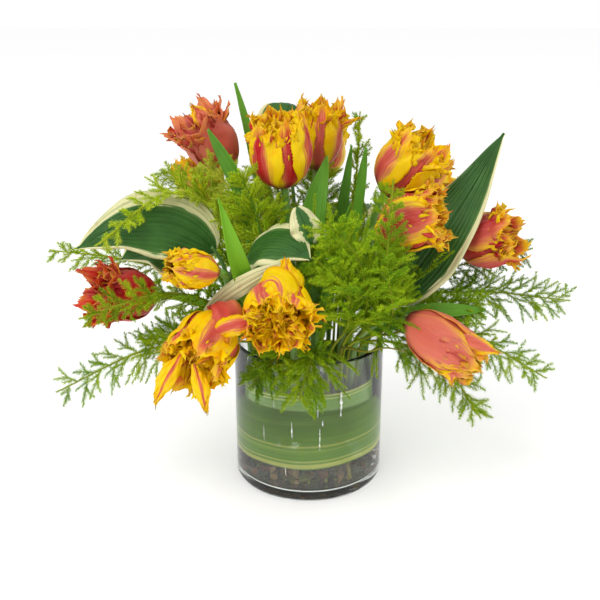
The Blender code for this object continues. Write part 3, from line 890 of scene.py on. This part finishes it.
def fern_material():
    """Needles from dark green to lime and gold, lighter at their tips, on thin browner twigs."""
    look = Look("fern", 0.6, Specular_IOR_Level=0.08)
    tone, twig, tip = look.parts("needle")
    patches = look.noise(look.place(), 35.0, 2.0)
    share = look.plus(look.math("DIVIDE", tone, 3.0), look.times_plus(tip, 0.16, -0.10))
    share = look.plus(share, look.times_plus(patches, 0.5, -0.25))
    green = look.ramp(share, (FERN_DARK, FERN_MID, FERN_LIME, FERN_PALE))
    return look.colour(look.mix(look.times(twig, 0.8), green, TWIG_GOLD))


def stem_material():
    look = Look("tulip_stem", 0.4)
    along, around, chance = look.parts("stem")
    lines = look.noise(look.vector(look.times(around, 8.0), along, chance), 2.0, 3.0)
    green = look.mix(look.step(lines, 0.35, 0.65), STEM_GREEN, TULIP_GREEN_LIGHT)
    return look.colour(look.mix(look.step(along, 0.0, 0.12, 0.8, 0.0), green, STEM_END))


def liner_material():
    """A striped leaf: fine pale lines lengthwise, and yellow and cream stripes near both edges."""
    look = Look("striped_leaf", 0.5, Specular_IOR_Level=0.12)
    around, height, _ = look.parts("band")
    sway = look.noise(look.vector(look.times(around, 3.0), 0.0, 0.0), 1.0, 2.0)
    bent = look.plus(height, look.times_plus(sway, 0.09, -0.045))
    fine = look.noise(look.vector(look.times(around, 0.8), look.times(bent, 34.0), 0.0), 1.6, 4.0)
    broad = look.noise(look.vector(look.times(around, 1.5), look.times(bent, 6.0), 4.0), 1.0, 2.0)
    shade = look.plus(look.step(fine, 0.42, 0.72, 0.0, 0.35), look.step(broad, 0.4, 0.7, 0.0, 0.3))
    colour = look.mix(shade, LINER_GREEN, LINER_PALE)
    for middle, half, strength in LINER_STRIPES:
        distance = look.absolute(look.math("SUBTRACT", bent, middle))
        stripe = look.step(distance, half * 0.55, half, strength, 0.0)
        uneven = look.times(stripe, look.step(fine, 0.3, 0.6, 0.65, 1.0))
        colour = look.mix(uneven, colour, LINER_STRIPE)
    return look.colour(colour)


def glass_material():
    look = Look("clear_glass", 0.02, Transmission_Weight=1.0, IOR=1.5)
    look.colour(GLASS_TINT)
    return look.let_lamps_through(GLASS_TINT)


def water_material():
    look = Look("water", 0.0, Transmission_Weight=1.0, IOR=1.33)
    look.colour(WATER_TINT)
    return look.let_lamps_through(WATER_TINT)


def debris_material():
    look = Look("stem_ends", 0.6, Specular_IOR_Level=0.1)
    hue, light, _ = look.parts("scrap")
    colour = look.ramp(hue, DEBRIS_COLOURS)
    patches = look.noise(look.place(), 220.0, 3.0)
    shade = look.times_plus(patches, 0.9, look.times_plus(light, 0.5, -0.35))
    return look.colour(look.mix(look.at_least_0(shade), DEBRIS_SHADE, colour))


# Painted reflection: streaks mottled from grey to white that stand in for glints of light on the glass
def painted_glint_material():
    look = Look("painted_glints", 0.25)
    patches = look.noise(look.place(), 300.0, 2.0)
    return look.colour(look.mix(look.step(patches, 0.35, 0.65), PAINTED_GLINT_GREY, PAINTED_GLINT_WHITE))


def floor_material():
    look = Look("floor", 0.9, Emission_Color=WHITE + (1.0,), Emission_Strength=FLOOR_GLOW)
    return look.colour(FLOOR_WHITE)


# ---------------------------------------------------------------- vase


def arc(centre_radius, centre_height, radius, start, end, steps):
    turns = np.radians(np.linspace(start, end, steps + 1))
    return [(centre_radius + radius * math.cos(t), centre_height + radius * math.sin(t)) for t in turns]


def add_turned(pile, profile):
    """A solid of revolution whose closed profile starts and ends on the axis."""
    turns = 2 * np.pi * np.arange(TURN_SIDES) / TURN_SIDES
    ring = np.stack([np.cos(turns), np.sin(turns), np.zeros(TURN_SIDES)], -1)
    rows = [ring * radius + (0, 0, height) for radius, height in profile[1:-1]]
    points = np.concatenate(rows + [[(0, 0, profile[0][1])], [(0, 0, profile[-1][1])]])
    count = len(rows)
    quads = grid_faces(count, TURN_SIDES, wrap=True)
    pile.add(points, quads=quads, triangles=cap_faces(count, TURN_SIDES))


def build_vase():
    rim = GLASS_WALL / 2
    outer = arc(VASE_RADIUS - HEEL_ROUND, HEEL_ROUND, HEEL_ROUND, -90, 0, HEEL_STEPS)
    lip = arc(VASE_RADIUS - rim, VASE_HEIGHT - rim, rim, 0, 180, LIP_STEPS)
    low = GLASS_FLOOR + FLOOR_ROUND
    floor = arc(BORE_RADIUS - FLOOR_ROUND, low, FLOOR_ROUND, 0, -90, FLOOR_STEPS)
    pile = Pile()
    hollow = [(0, FOOT_HOLLOW), (VASE_RADIUS - FOOT_RING * HEEL_ROUND, FOOT_HOLLOW)]
    add_turned(pile, hollow + outer + lip + floor + [(0, GLASS_FLOOR)])
    finish_piece(pile, "glass_vase", glass_material(), "clear_glass", "vase")


def build_water():
    wide = BORE_RADIUS + WATER_OVERLAP
    bottom = GLASS_FLOOR - WATER_OVERLAP
    floor = arc(wide - FLOOR_ROUND, bottom + FLOOR_ROUND, FLOOR_ROUND, -90, 0, FLOOR_STEPS)
    pile = Pile()
    top = [(wide, WATER_TOP), (wide - WATER_EDGE, WATER_TOP), (0, WATER_TOP)]
    add_turned(pile, [(0, bottom)] + floor + top)
    finish_piece(pile, "vase_water", water_material(), "water", "water")


def build_liner():
    turns = np.radians(np.linspace(0, LINER_TURN, LINER_COLUMNS))
    heights = np.linspace(0, 1, LINER_ROWS)
    tuck = ramp(np.linspace(0, LINER_TURN, LINER_COLUMNS), *LINER_OVERLAP) * LINER_STEP_IN
    radius = BORE_RADIUS - LINER_CLEARANCE - LINER_THICKNESS / 2 - tuck
    edge_wave = LINER_EDGE_WAVE * np.sin(turns * 5)
    low = LINER_BOTTOM + LINER_TILT * np.cos(turns) + edge_wave
    high = LINER_TOP + LINER_TILT * np.cos(turns) - edge_wave
    level = low[None] + (high - low)[None] * heights[:, None]
    ripple = LINER_RIPPLE * np.sin(heights * 70)[:, None]
    grid = np.stack([(radius + ripple) * np.cos(turns), (radius + ripple) * np.sin(turns), level], -1)
    around = np.broadcast_to(turns / (2 * math.pi), level.shape)
    band = np.stack([around, np.broadcast_to(heights[:, None], level.shape), around * 0], -1)
    pile = Pile()
    add_sheet(pile, grid, LINER_THICKNESS / 2, band=band)
    finish_piece(pile, "striped_liner", liner_material(), "striped_leaf", "leaf_liner")


def build_debris(rng):
    """Cut stem ends and scraps of leaf that lie under the liner on the vase's floor."""
    pile = Pile()
    for _ in range(DEBRIS_LEAVES):
        turn = rng.uniform(0, 2 * math.pi)
        out = (BORE_RADIUS - 0.008) * math.sqrt(rng.uniform(0.15, 1))
        centre = on_circle(out, turn, GLASS_FLOOR + rng.uniform(0.0005, 0.019))
        along = unit(rng.normal(size=3) * (1, 1, 0.4))
        wide = rng.uniform(0.0015, 0.0045)
        beside = unit(np.cross(along, rng.normal(size=3)))
        length = rng.uniform(0.006, 0.018)
        u, v = sheet_places(*DEBRIS_GRID, low=-1)
        curl = unit(np.cross(along, beside)) * rng.uniform(-0.3, 0.3) * length
        shape = np.sqrt(np.clip(1 - u**2, 0.03, 1))[..., None]
        grid = centre + along * (u * length / 2)[..., None] + beside * (v * wide)[..., None] * shape
        grid = grid + curl * (u**2)[..., None]
        add_sheet(pile, grid, DEBRIS_HALF_THICKNESS, scrap=(rng.uniform(), rng.uniform(), 0))
    for _ in range(DEBRIS_STEMS):
        turn = rng.uniform(0, 2 * math.pi)
        out = (BORE_RADIUS - 0.006) * rng.uniform(0.5, 0.98)
        foot = on_circle(out, turn, GLASS_FLOOR + rng.uniform(0.001, 0.004))
        inwards = np.array((-foot[0], -foot[1], 0))
        lean = inwards * rng.uniform(-0.1, 0.4) + (0, 0, rng.uniform(0.018, 0.03))
        route = foot + lean * np.linspace(0, 1, 6)[:, None]
        add_tube(pile, route, rng.uniform(0.0008, 0.0024), 10, scrap=(rng.uniform(), 0.8, 0))
    finish_piece(pile, "stem_ends", debris_material(), "fern")


def build_painted_glints(rng):
    """Thin uneven raised streaks on the outside of the glass, painted white as reflections of light."""
    pile = Pile()
    for turn_degrees, top, length, wide in GLINT_STREAKS:
        rows = GLINT_STREAK_GRID[0]
        u, v = sheet_places(*GLINT_STREAK_GRID)
        uneven = 0.55 + 0.45 * rng.uniform(-1, 1, (rows, 1))
        half = wide / 2 * np.sin(np.pi * np.clip(u, 0.04, 0.96)) ** 0.6 * uneven
        sway = np.cumsum(rng.uniform(-1, 1, rows))[:, None] * wide * 0.10
        turn = math.radians(turn_degrees) + (v * half + sway) / VASE_RADIUS
        radius = VASE_RADIUS + GLINT_STREAK_OUT
        grid = np.stack([radius * np.cos(turn), radius * np.sin(turn), top - u * length], -1)
        add_sheet(pile, grid[:, ::-1], GLINT_STREAK_HALF_THICKNESS)
    finish_piece(pile, "painted_glint_streaks", painted_glint_material(), "clear_glass")


# ---------------------------------------------------------------- blooms


def goblet(share, lip, base):
    """Radius of the bloom, as a share of its largest one, at this share of its height."""
    corners = [(0, base), (0.07, 0.52), (0.2, 0.82), (0.42, 1.0), (0.7, SHOULDER), (1.0, lip)]
    points = [(high, wide, 0) for high, wide in corners]
    curve = smooth_route(points, (0.1, 1, 0), (1, (lip - SHOULDER) * 3, 0), 8)
    return np.interp(share, curve[:, 0], curve[:, 1])


def waves(rng, u, v, count, fast):
    """A smooth random field over a petal, between about -1 and 1."""
    total = np.zeros_like(u)
    for _ in range(count):
        total += np.sin(u * rng.uniform(2, fast) + v * rng.uniform(-fast, fast) + rng.uniform(0, 6.3))
    return total / math.sqrt(count)


def fringe(rng, grid, kind, teeth, threads):
    """Pulls the outermost points of a petal outwards into uneven teeth, and marks them."""
    rows, columns = grid.shape[:2]
    upwards = unit(grid[-1] - grid[-3])
    reach = teeth * rng.uniform(0.15, 1, columns) ** 1.4 * (np.arange(columns) % 2)
    reach *= np.where(rng.uniform(size=columns) < threads * 0.25, 1.9, 1.0)
    reach[columns // 2] = max(teeth * threads * 2.2, reach[columns // 2])
    grid[-1] += upwards * reach[:, None] + rng.normal(size=(columns, 3)) * reach[:, None] * 0.3
    kind[-1, :, 1] = np.where(reach > 0, 1.0, 0.25)
    kind[-2, :, 1] = 0.25
    grown = ramp(np.linspace(0, 1, rows), 0.35, 0.7)
    for side, inner in ((0, 2), (columns - 1, columns - 3)):
        outwards = unit(grid[:, side] - grid[:, inner] + (grid[-1, side] - grid[0, side]) * 0.04)
        reach = teeth * 0.8 * rng.uniform(0.1, 1, rows) * (np.arange(rows) % 2) * grown
        grid[:, side] += outwards * reach[:, None]
        kind[:, side, 1] = np.maximum(kind[:, side, 1], grown * np.where(reach > 0, 0.9, 0.3))


def petal_grid(rng, radius, length, lip, half_width, flare, point, rows, columns, ruffle):
    """A petal whose middle line runs up the goblet's side at azimuth 0, and its (u, v)."""
    t, v = sheet_places(rows, columns)
    u = t * (1 - point * np.abs(v) ** 2.2)
    base = BLOOM_BASE / radius
    wide = half_width * (0.30 + 0.70 * ramp(u, 0.0, 0.42)) * (1 - 0.42 * ramp(u, 0.6, 1.0) ** 1.2)
    out = radius * goblet(u, lip, base)
    curve = np.maximum(out, radius * 0.5)
    turn = v * wide / curve
    out = out + flare * radius * np.clip((u - 0.45) / 0.55, 0, None) ** 1.7
    out = out + ruffle * waves(rng, u * 5, v * 3, 5, 5.0) * ramp(u, 0.15, 0.9)
    side = curve * np.sin(turn)
    depth = out - curve * (1 - np.cos(turn)) * 0.92
    height = u * length - np.abs(flare) * length * 0.25 * np.clip((u - 0.5) / 0.5, 0, None) ** 2
    return np.stack([depth, side, height], -1), u, v


def add_petal(pile, rng, petal, azimuth, turn_to, origin, inner, hues, teeth, threads, thickness):
    """Fringes a petal, turns it to its azimuth, and sets it on the bloom, whose axis turn_to gives."""
    grid, u, v = petal
    kind = np.zeros(grid.shape)
    kind[..., 0] = inner
    fringe(rng, grid, kind, teeth, threads)
    cosine, sine = math.cos(azimuth), math.sin(azimuth)
    spin = np.array(((cosine, -sine, 0), (sine, cosine, 0), (0, 0, 1)))
    grid = grid @ spin.T @ turn_to.T + origin
    petal = np.stack([u, v, np.full_like(u, rng.uniform())], -1)
    taper = thickness * (1 - 0.6 * ramp(u, 0.6, 1))
    add_sheet(pile, grid, taper, petal=petal, kind=kind, hues=hues)


def add_stray(pile, rng, points, width, hues):
    """A loose petal that stands away from its bloom, with a fringed point at its end."""
    points = [above_mouth(point) for point in points]
    route = free_route(points, STRAY_STEPS)
    across, above = blade_frame(route, STRAY_FACE)
    u, v = sheet_places(len(route), STRAY_COLUMNS)
    half = width * MM / 2 * (0.35 + 0.65 * ramp(u, 0, 0.35)) * (1 - 0.75 * ramp(u, 0.55, 1))
    lift = half * (0.5 - 0.9 * v**2) + STRAY_WAVE * waves(rng, u * 5, v * 3, 4, 5.0)
    grid = route[:, None] + across[:, None] * (half * v)[..., None] + above[:, None] * lift[..., None]
    kind = np.zeros(grid.shape)
    fringe(rng, grid, kind, OUTER_TEETH, 1.0)
    petal = np.stack([0.25 + 0.75 * u, v, np.full_like(u, rng.uniform())], -1)
    turned = {"petal": petal[:, ::-1], "kind": kind[:, ::-1]}
    add_sheet(pile, grid[:, ::-1], OUTER_PETAL / 2, **turned, hues=hues)


def build_bloom(name, base, aim, length, radius, lip, looks, material):
    rng = np.random.default_rng(SEED + len(name) * 7 + length + radius * 3)
    phase, flame, salmon, orange, flare, rows_inside = looks
    length, radius = length * MM, radius * MM
    direction = Vector(aim).normalized()
    turn_to = np.array(direction.to_track_quat("Z", "Y").to_matrix())
    origin = above_mouth(base)
    hues = (flame, salmon, orange)
    pile = Pile()
    for index in range(OUTER_PETALS):
        azimuth = math.radians(phase + index * 360 / OUTER_PETALS + rng.uniform(-7, 7))
        share = OUTER_TUCK if index % 2 else 1.0
        long = length * rng.uniform(0.93, 1.03)
        petal = petal_grid(
            rng, radius * share, long, lip, radius * rng.uniform(0.84, 0.98), flare * rng.uniform(0.7, 1.3),
            rng.uniform(0.26, 0.42), *OUTER_GRID, OUTER_RUFFLE,
        )
        add_petal(
            pile, rng, petal, azimuth, turn_to, origin, 0, hues, OUTER_TEETH, 1.0, OUTER_PETAL / 2,
        )
    for row, (share, count) in enumerate(INNER_ROWS[:rows_inside]):
        for index in range(count):
            azimuth = math.radians(phase + index * 360 / count + row * 25 + rng.uniform(-12, 12))
            long = length * rng.uniform(0.8, 1.0) * (1 - 0.03 * row)
            petal = petal_grid(
                rng, radius * share, long, lip * rng.uniform(0.95, 1.35), radius * rng.uniform(0.34, 0.52),
                rng.uniform(-0.1, 0.35), rng.uniform(0.05, 0.25), *INNER_GRID, INNER_RUFFLE,
            )
            own_flame = flame * rng.choice((0.0, 0.0, 0.1, 0.9)) if flame < ALL_RED_FLAME else flame
            own_hues = (own_flame, salmon * 0.4, orange * 0.2 + rng.uniform(-0.3, 0.05))
            add_petal(
                pile, rng, petal, azimuth, turn_to, origin, 1, own_hues, INNER_TEETH, INNER_THREADS,
                INNER_PETAL / 2,
            )
    for points, width, own_flame in STRAYS.get(name, []):
        add_stray(pile, rng, points, width, (own_flame, salmon, orange))
    finish_piece(pile, f"{name}_bloom", material, "petals", f"bloom_{name}")


def build_stem(name, ring, angle, bends, base, aim, material):
    route = np.concatenate(slot_route(ring, angle, bends + [base], STEM_STEPS, STEM_STEPS, aim))
    along = np.linspace(0, 1, len(route))
    values = np.stack([along, along * 0, np.full_like(along, angle / 360)], -1)
    pile = Pile()
    add_tube(pile, route, TULIP_STEM * (1 + 0.04 * np.sin(along * 25)), STEM_SIDES, stem=values)
    finish_piece(pile, f"{name}_stem", material, "tulip_stem", f"tulip_stem_{name}")


# ---------------------------------------------------------------- leaves


def blade_frame(route, face):
    """Sideways and upward directions along a blade that faces face."""
    along = directions(route)
    across = unit(np.cross(along, np.asarray(face, float)))
    return across, np.cross(across, along)


def add_blade(pile, route, half_widths, face, bend, relief, columns, **attributes):
    """A blade along a route, whose margins bend up by bend radians.

    The relief and each attribute are functions of (along, across).
    """
    across, above = blade_frame(route, face)
    u, v = sheet_places(len(route), columns)
    bend = np.broadcast_to(bend, len(route))[:, None]
    reach = half_widths[:, None] * np.cos(bend) * v
    lift = half_widths[:, None] * np.sin(bend) * np.abs(v) ** 1.5 + relief(u, v)
    grid = route[:, None] + across[:, None] * reach[..., None] + above[:, None] * lift[..., None]
    turned = {name: filled(u, *value(u, v))[:, ::-1] for name, value in attributes.items()}
    add_sheet(pile, grid[:, ::-1], LEAF_THICKNESS / 2, **turned)


def filled(u, *values):
    """The three values as a grid, where some may be plain numbers."""
    return np.stack([np.broadcast_to(value, u.shape) for value in values], -1)


def build_hosta(name, ring, angle, petiole, blade, width, face, bend, left, right, material):
    rng = np.random.default_rng(SEED + len(name) * 13)
    below, curve = slot_route(ring, angle, petiole + blade, HOSTA_STEPS, PETIOLE_STEPS)
    first = HOSTA_STEPS * (len(petiole) + 1)
    stalk = np.concatenate([below, curve[: first + 3]])
    rib = curve[first:]
    share = np.linspace(0, 1, len(rib))
    outline = np.sin(np.pi * np.clip(share, 0.004, 0.992) ** HOSTA_SHIFT) ** HOSTA_FULLNESS
    half = np.maximum(width * MM / 2 * outline, HOSTA_NARROWEST)
    phase = rng.uniform(0, 6)

    def relief(u, v):
        fade = ramp(u, 0, 0.1) * (1 - ramp(u, 0.9, 1))
        veins = np.abs(np.sin(v * math.pi * HOSTA_VEINS / 2)) * HOSTA_RELIEF * fade
        wavy = HOSTA_WAVE * np.sin(u * 17 + phase + np.sign(v)) * np.abs(v) ** 3 * np.sin(np.pi * u)
        return veins - HOSTA_RIB * (1 - np.clip(np.abs(v) / 0.08, 0, 1)) + wavy

    pile = Pile()
    seed = rng.uniform()
    rise = math.radians(bend) * ramp(share, 0, 0.2)
    sheets = [(rib, half, face, rise, HOSTA_COLUMNS, left, right)]
    for points, wide, flap_face, flap_left, flap_right in HOSTA_FLAPS.get(name, []):
        flap = free_route([above_mouth(point) for point in points], FLAP_STEPS)
        reach = wide * MM / 2 * np.sin(np.pi * np.linspace(0.06, 0.96, len(flap))) ** 0.7
        bow = math.radians(FLAP_BEND)
        sheets.append((flap, reach, flap_face, bow, FLAP_COLUMNS, flap_left, flap_right))
    for route, reach, looks_to, lift, columns, cream_left, cream_right in sheets:
        add_blade(
            pile, route, reach, looks_to, lift, relief, columns,
            leaf=lambda u, v: (u, v, seed),
            margins=lambda u, v: (cream_left, cream_right, 0.0),
            side=lambda u, v: (0.0, 0.0, 0.0),
        )
    along = np.linspace(-0.3, 0, len(stalk))
    radii = PETIOLE_RADIUS * (1 - 0.15 * np.linspace(0, 1, len(stalk)))
    add_tube(
        pile, stalk, radii, PETIOLE_SIDES,
        leaf=filled(along, along, 0.3, seed), margins=(0.0, 0.0, 0.0), side=(1.0, 0.0, 0.0),
    )
    finish_piece(pile, f"{name}_hosta", material, "hosta_leaf", f"hosta_leaf_{name}")


def build_tulip_leaf(name, ring, angle, points, width, face, lime, material):
    rng = np.random.default_rng(SEED + len(name) * 17)
    route = np.concatenate(slot_route(ring, angle, points, TULIP_LEAF_STEPS, STRAP_STEPS))
    share = np.clip((np.arange(len(route)) - STRAP_STEPS) / (len(route) - 1 - STRAP_STEPS), 0, 1)
    outline = (0.25 + 0.75 * np.sin(math.pi * np.minimum(share * 1.15, 1) / 2)) * (1 - share**2.6) ** 0.8
    half = np.maximum(width * MM / 2 * outline, TULIP_LEAF_NARROWEST)
    half[:STRAP_STEPS] = STRAP_WIDE
    phase = rng.uniform(0, 6)

    def relief(u, v):
        return 0.0012 * np.sin(u * 13 + phase) * v**2 * np.sign(v) + 0.00012 * np.sin(v * 40)

    pile = Pile()
    add_blade(
        pile, route, half, face, math.radians(TULIP_LEAF_BEND), relief, TULIP_LEAF_COLUMNS,
        leaf=lambda u, v: (share[:, None], v, lime),
    )
    finish_piece(pile, f"{name}_leaf", material, "tulip_leaf", f"tulip_leaf_{name}")


# ---------------------------------------------------------------- ferns


def add_needles(pile, rng, route, length, tone, face):
    """Needles mostly to both sides of a twig, that point forwards, each a slim closed pyramid."""
    steps = np.linalg.norm(np.diff(route, axis=0), axis=1)
    distance = np.concatenate([[0], np.cumsum(steps)])
    total = distance[-1]
    whorls = max(int(total / NEEDLE_SPACING), 2)
    places = np.repeat((np.arange(whorls) + 0.5) / whorls, NEEDLES_PER_WHORL) * total
    count = len(places)
    places = np.clip(places + rng.uniform(-0.5, 0.5, count) * NEEDLE_SPACING, 0, total)
    roots = np.stack([np.interp(places, distance, route[:, axis]) for axis in range(3)], -1)
    ahead_all = directions(route)
    ahead = unit(np.stack([np.interp(places, distance, ahead_all[:, axis]) for axis in range(3)], -1))
    beside = unit(np.cross(ahead, np.asarray(face, float) + rng.normal(size=3) * 0.15))
    around = (rng.integers(0, 2, count) * math.pi + rng.normal(size=count) * 0.55)[:, None]
    aside = beside * np.cos(around) + np.cross(beside, ahead) * np.sin(around)
    angle = np.radians(rng.uniform(46, 66, count))[:, None]
    lead = unit(ahead * np.cos(angle) + aside * np.sin(angle))
    near_tip = 1 - 0.5 * ramp(places / total, 0.6, 1)
    reach = length * rng.uniform(0.75, 1.1, count) * near_tip
    tips = roots + lead * reach[:, None] + ahead * (reach * 0.18)[:, None]
    beside = unit(np.cross(lead, ahead)) * NEEDLE_WIDTH / 2
    above = unit(np.cross(beside, lead)) * NEEDLE_WIDTH / 2
    corners = np.stack([roots + beside, roots + above, roots - beside, tips], 1)
    faces = np.array([(0, 2, 1), (3, 0, 1), (3, 1, 2), (3, 2, 0)])
    base = (np.arange(count) * 4)[:, None, None]
    shade = np.clip(tone + rng.normal(size=count) * 0.28, 0, 3)
    values = np.zeros((count, 4, 3))
    values[..., 0] = shade[:, None]
    values[..., 2] = (0.2, 0.2, 0.2, 1.0)
    pile.add(corners, triangles=(faces[None] + base).reshape(-1, 3), needle=values)


def add_plume(pile, rng, route, twig, tone, face, length=NEEDLE_LENGTH):
    """A tapering twig with its needles."""
    radii = np.linspace(twig, twig * 0.5, len(route))
    add_tube(pile, route, radii, TWIG_SIDES, needle=(tone, 0.6, 0.5))
    add_needles(pile, rng, route, length, tone, face)


def twig_route(start, lead, length, droop, rng):
    """A short twig that bows a little."""
    t = np.linspace(0, 1, TWIG_STEPS)[:, None]
    bow = unit(np.cross(lead, rng.normal(size=3))) * length * rng.uniform(0.02, 0.12)
    return start + lead * length * t + bow * (t * (1 - t) * 4) - np.array((0, 0, droop)) * t**2


def build_fern(name, ring, angle, points, bare, count, longest, face, sag, tone, material):
    rng = np.random.default_rng(SEED + sum(map(ord, name)))
    below, curve = slot_route(ring, angle, points, FERN_STEPS, FERN_STALK_STEPS)
    first = int(bare * (len(curve) - 1))
    stalk = np.concatenate([below, curve])
    pile = Pile()
    radii = np.linspace(FERN_STALK, FERN_STALK * 0.4, len(stalk))
    add_tube(pile, stalk, radii, FERN_STALK_SIDES, needle=(tone, 0.7, 0.2))
    add_needles(pile, rng, curve[first:], NEEDLE_LENGTH, tone, face)
    ahead_all = directions(curve)
    branches = count * BRANCHES_PER_ROW
    for branch in range(branches):
        share = (branch + rng.uniform(0.2, 0.8)) / branches
        place = first + (len(curve) - 1 - first) * share * 0.94
        index = min(int(place), len(curve) - 2)
        start = curve[index] + (curve[index + 1] - curve[index]) * (place - index)
        ahead = ahead_all[index]
        beside = unit(np.cross(face, ahead)) * (1 if branch % 2 else -1)
        above = unit(np.cross(beside, ahead))
        turn = math.radians(rng.uniform(-50, 50))
        outwards = beside * math.cos(turn) + above * math.sin(turn)
        opening = math.radians(rng.uniform(36, 56))
        lead = ahead * math.cos(opening) + outwards * math.sin(opening)
        length = longest * MM * (1 - 0.6 * share) * rng.uniform(0.8, 1.12)
        route = twig_route(start, lead, length, sag * MM * length / (longest * MM), rng)
        own_tone = tone + rng.uniform(-0.3, 0.3)
        add_plume(pile, rng, route, TWIG, own_tone, above)
        for side in range(SUB_TWIGS):
            spot = route[1 + side]
            sideways = unit(np.cross(lead, above)) * (1 if side % 2 else -1)
            sub_lead = lead * rng.uniform(0.9, 1.2) + sideways * rng.uniform(0.5, 0.8)
            sub_lead = unit(sub_lead + rng.normal(size=3) * 0.15)
            sub = twig_route(spot, sub_lead, length * rng.uniform(0.35, 0.6), 0.0, rng)
            add_plume(pile, rng, sub, TWIG * 0.8, own_tone + 0.15, above, NEEDLE_LENGTH * 0.85)
    nodes = [f"fern_{name}"] if name in FERNS else []
    finish_piece(pile, f"{name}_fern", material, "fern", *nodes)


def build_filler(material):
    """Short fern sprigs that fill the bouquet's middle, between the stems."""
    rng = np.random.default_rng(SEED)
    pile = Pile()
    for sprig in range(FILLER_SPRIGS):
        turn = sprig * GOLDEN_ANGLE
        out = (OUTER_RING - 0.004) * math.sqrt((sprig + 0.5) / FILLER_SPRIGS)
        start = on_circle(out, turn, WATER_TOP + 0.02)
        lift = 1 - 0.75 * (out / OUTER_RING) ** 2
        lead = unit((math.cos(turn) * (1.25 - lift), math.sin(turn) * (1.25 - lift), 0.35 + lift))
        length = rng.uniform(0.08, 0.13) * (0.8 + 0.35 * lift)
        bends = [start, start + (0, 0, 0.03) + lead * 0.02, start + (0, 0, 0.02) + lead * length]
        route = smooth_route(bends, (0, 0, 1), lead, FILLER_STEPS)
        tone = rng.uniform(0.5, 1.5)
        add_plume(pile, rng, route[6:], TWIG * 1.4, tone, FILLER_FACE)
        for branch in range(FILLER_BRANCHES):
            share = branch / FILLER_BRANCHES
            spot = route[8 + int(share * 7)]
            own = unit(lead + unit(np.cross(lead, rng.normal(size=3))) * rng.uniform(0.5, 0.9))
            twig = twig_route(spot, own, rng.uniform(0.018, 0.034) * (1.1 - 0.4 * share), 0.002, rng)
            own_tone = tone + rng.uniform(-0.3, 0.3)
            add_plume(pile, rng, twig, TWIG, own_tone, rng.normal(size=3))
    finish_piece(pile, "filler_ferns", material, "fern")


# ---------------------------------------------------------------- stage


def build_stage():
    """The floor, the lamps, and a sky that lights softly but looks white to the camera."""
    world = bpy.data.worlds.new("studio")
    bpy.context.scene.world = world
    world.use_nodes = True
    nodes, links = world.node_tree.nodes, world.node_tree.links
    background = nodes["Background"]
    backdrop = nodes.new("ShaderNodeBackground")
    for node, strength in ((background, WORLD_STRENGTH), (backdrop, BACKDROP_STRENGTH)):
        node.inputs["Color"].default_value = WHITE + (1.0,)
        node.inputs["Strength"].default_value = strength
    path = nodes.new("ShaderNodeLightPath")
    mix = nodes.new("ShaderNodeMixShader")
    links.new(path.outputs["Is Camera Ray"], mix.inputs[0])
    links.new(background.outputs[0], mix.inputs[1])
    links.new(backdrop.outputs[0], mix.inputs[2])
    links.new(mix.outputs[0], nodes["World Output"].inputs["Surface"])
    half = FLOOR_SIZE / 2
    pile = Pile()
    pile.add([(-half, -half, 0), (half, -half, 0), (half, half, 0), (-half, half, 0)], quads=[(0, 1, 2, 3)])
    floor = pile.object("floor", floor_material())
    for name, place, power, size in LAMPS:
        lamp = bpy.data.lights.new(name, "AREA")
        lamp.energy = power
        lamp.shape = "RECTANGLE"
        lamp.size, lamp.size_y = size
        holder = bpy.data.objects.new(name, lamp)
        holder.location = place
        aim = Vector(CAMERA_TARGET) - Vector(place)
        holder.rotation_euler = aim.to_track_quat("-Z", "Y").to_euler()
        bpy.context.scene.collection.objects.link(holder)


def build_camera():
    turn = math.radians(CAMERA_ELEVATION)
    camera = bpy.data.cameras.new("camera")
    camera.lens = CAMERA_LENS
    camera.sensor_width = CAMERA_SENSOR
    camera.clip_start = CAMERA_NEAREST
    holder = bpy.data.objects.new("camera", camera)
    back = Vector((0, -math.cos(turn), math.sin(turn)))
    holder.location = Vector(CAMERA_TARGET) + back * CAMERA_DISTANCE
    holder.rotation_euler = (-back).to_track_quat("-Z", "Y").to_euler()
    bpy.context.scene.collection.objects.link(holder)
    bpy.context.scene.camera = holder
    bpy.context.scene.view_settings.view_transform = "Standard"


def main():
    rng = np.random.default_rng(SEED)
    build_vase()
    build_water()
    build_liner()
    build_debris(rng)
    build_painted_glints(rng)
    petals = petal_material()
    stems = stem_material()
    for name, (ring, angle, bends, base, aim, length, radius, lip, looks) in TULIPS.items():
        build_stem(name, ring, angle, bends, base, aim, stems)
        build_bloom(name, base, aim, length, radius, lip, looks, petals)
    hosta = hosta_material()
    for name, details in HOSTAS.items():
        build_hosta(name, *details, hosta)
    tulip_leaf = tulip_leaf_material()
    for name, details in TULIP_LEAVES.items():
        build_tulip_leaf(name, *details, tulip_leaf)
    fern = fern_material()
    for name, details in (FERNS | MORE_FERNS).items():
        build_fern(name, *details, fern)
    build_filler(fern)
    build_stage()
    build_camera()


main()
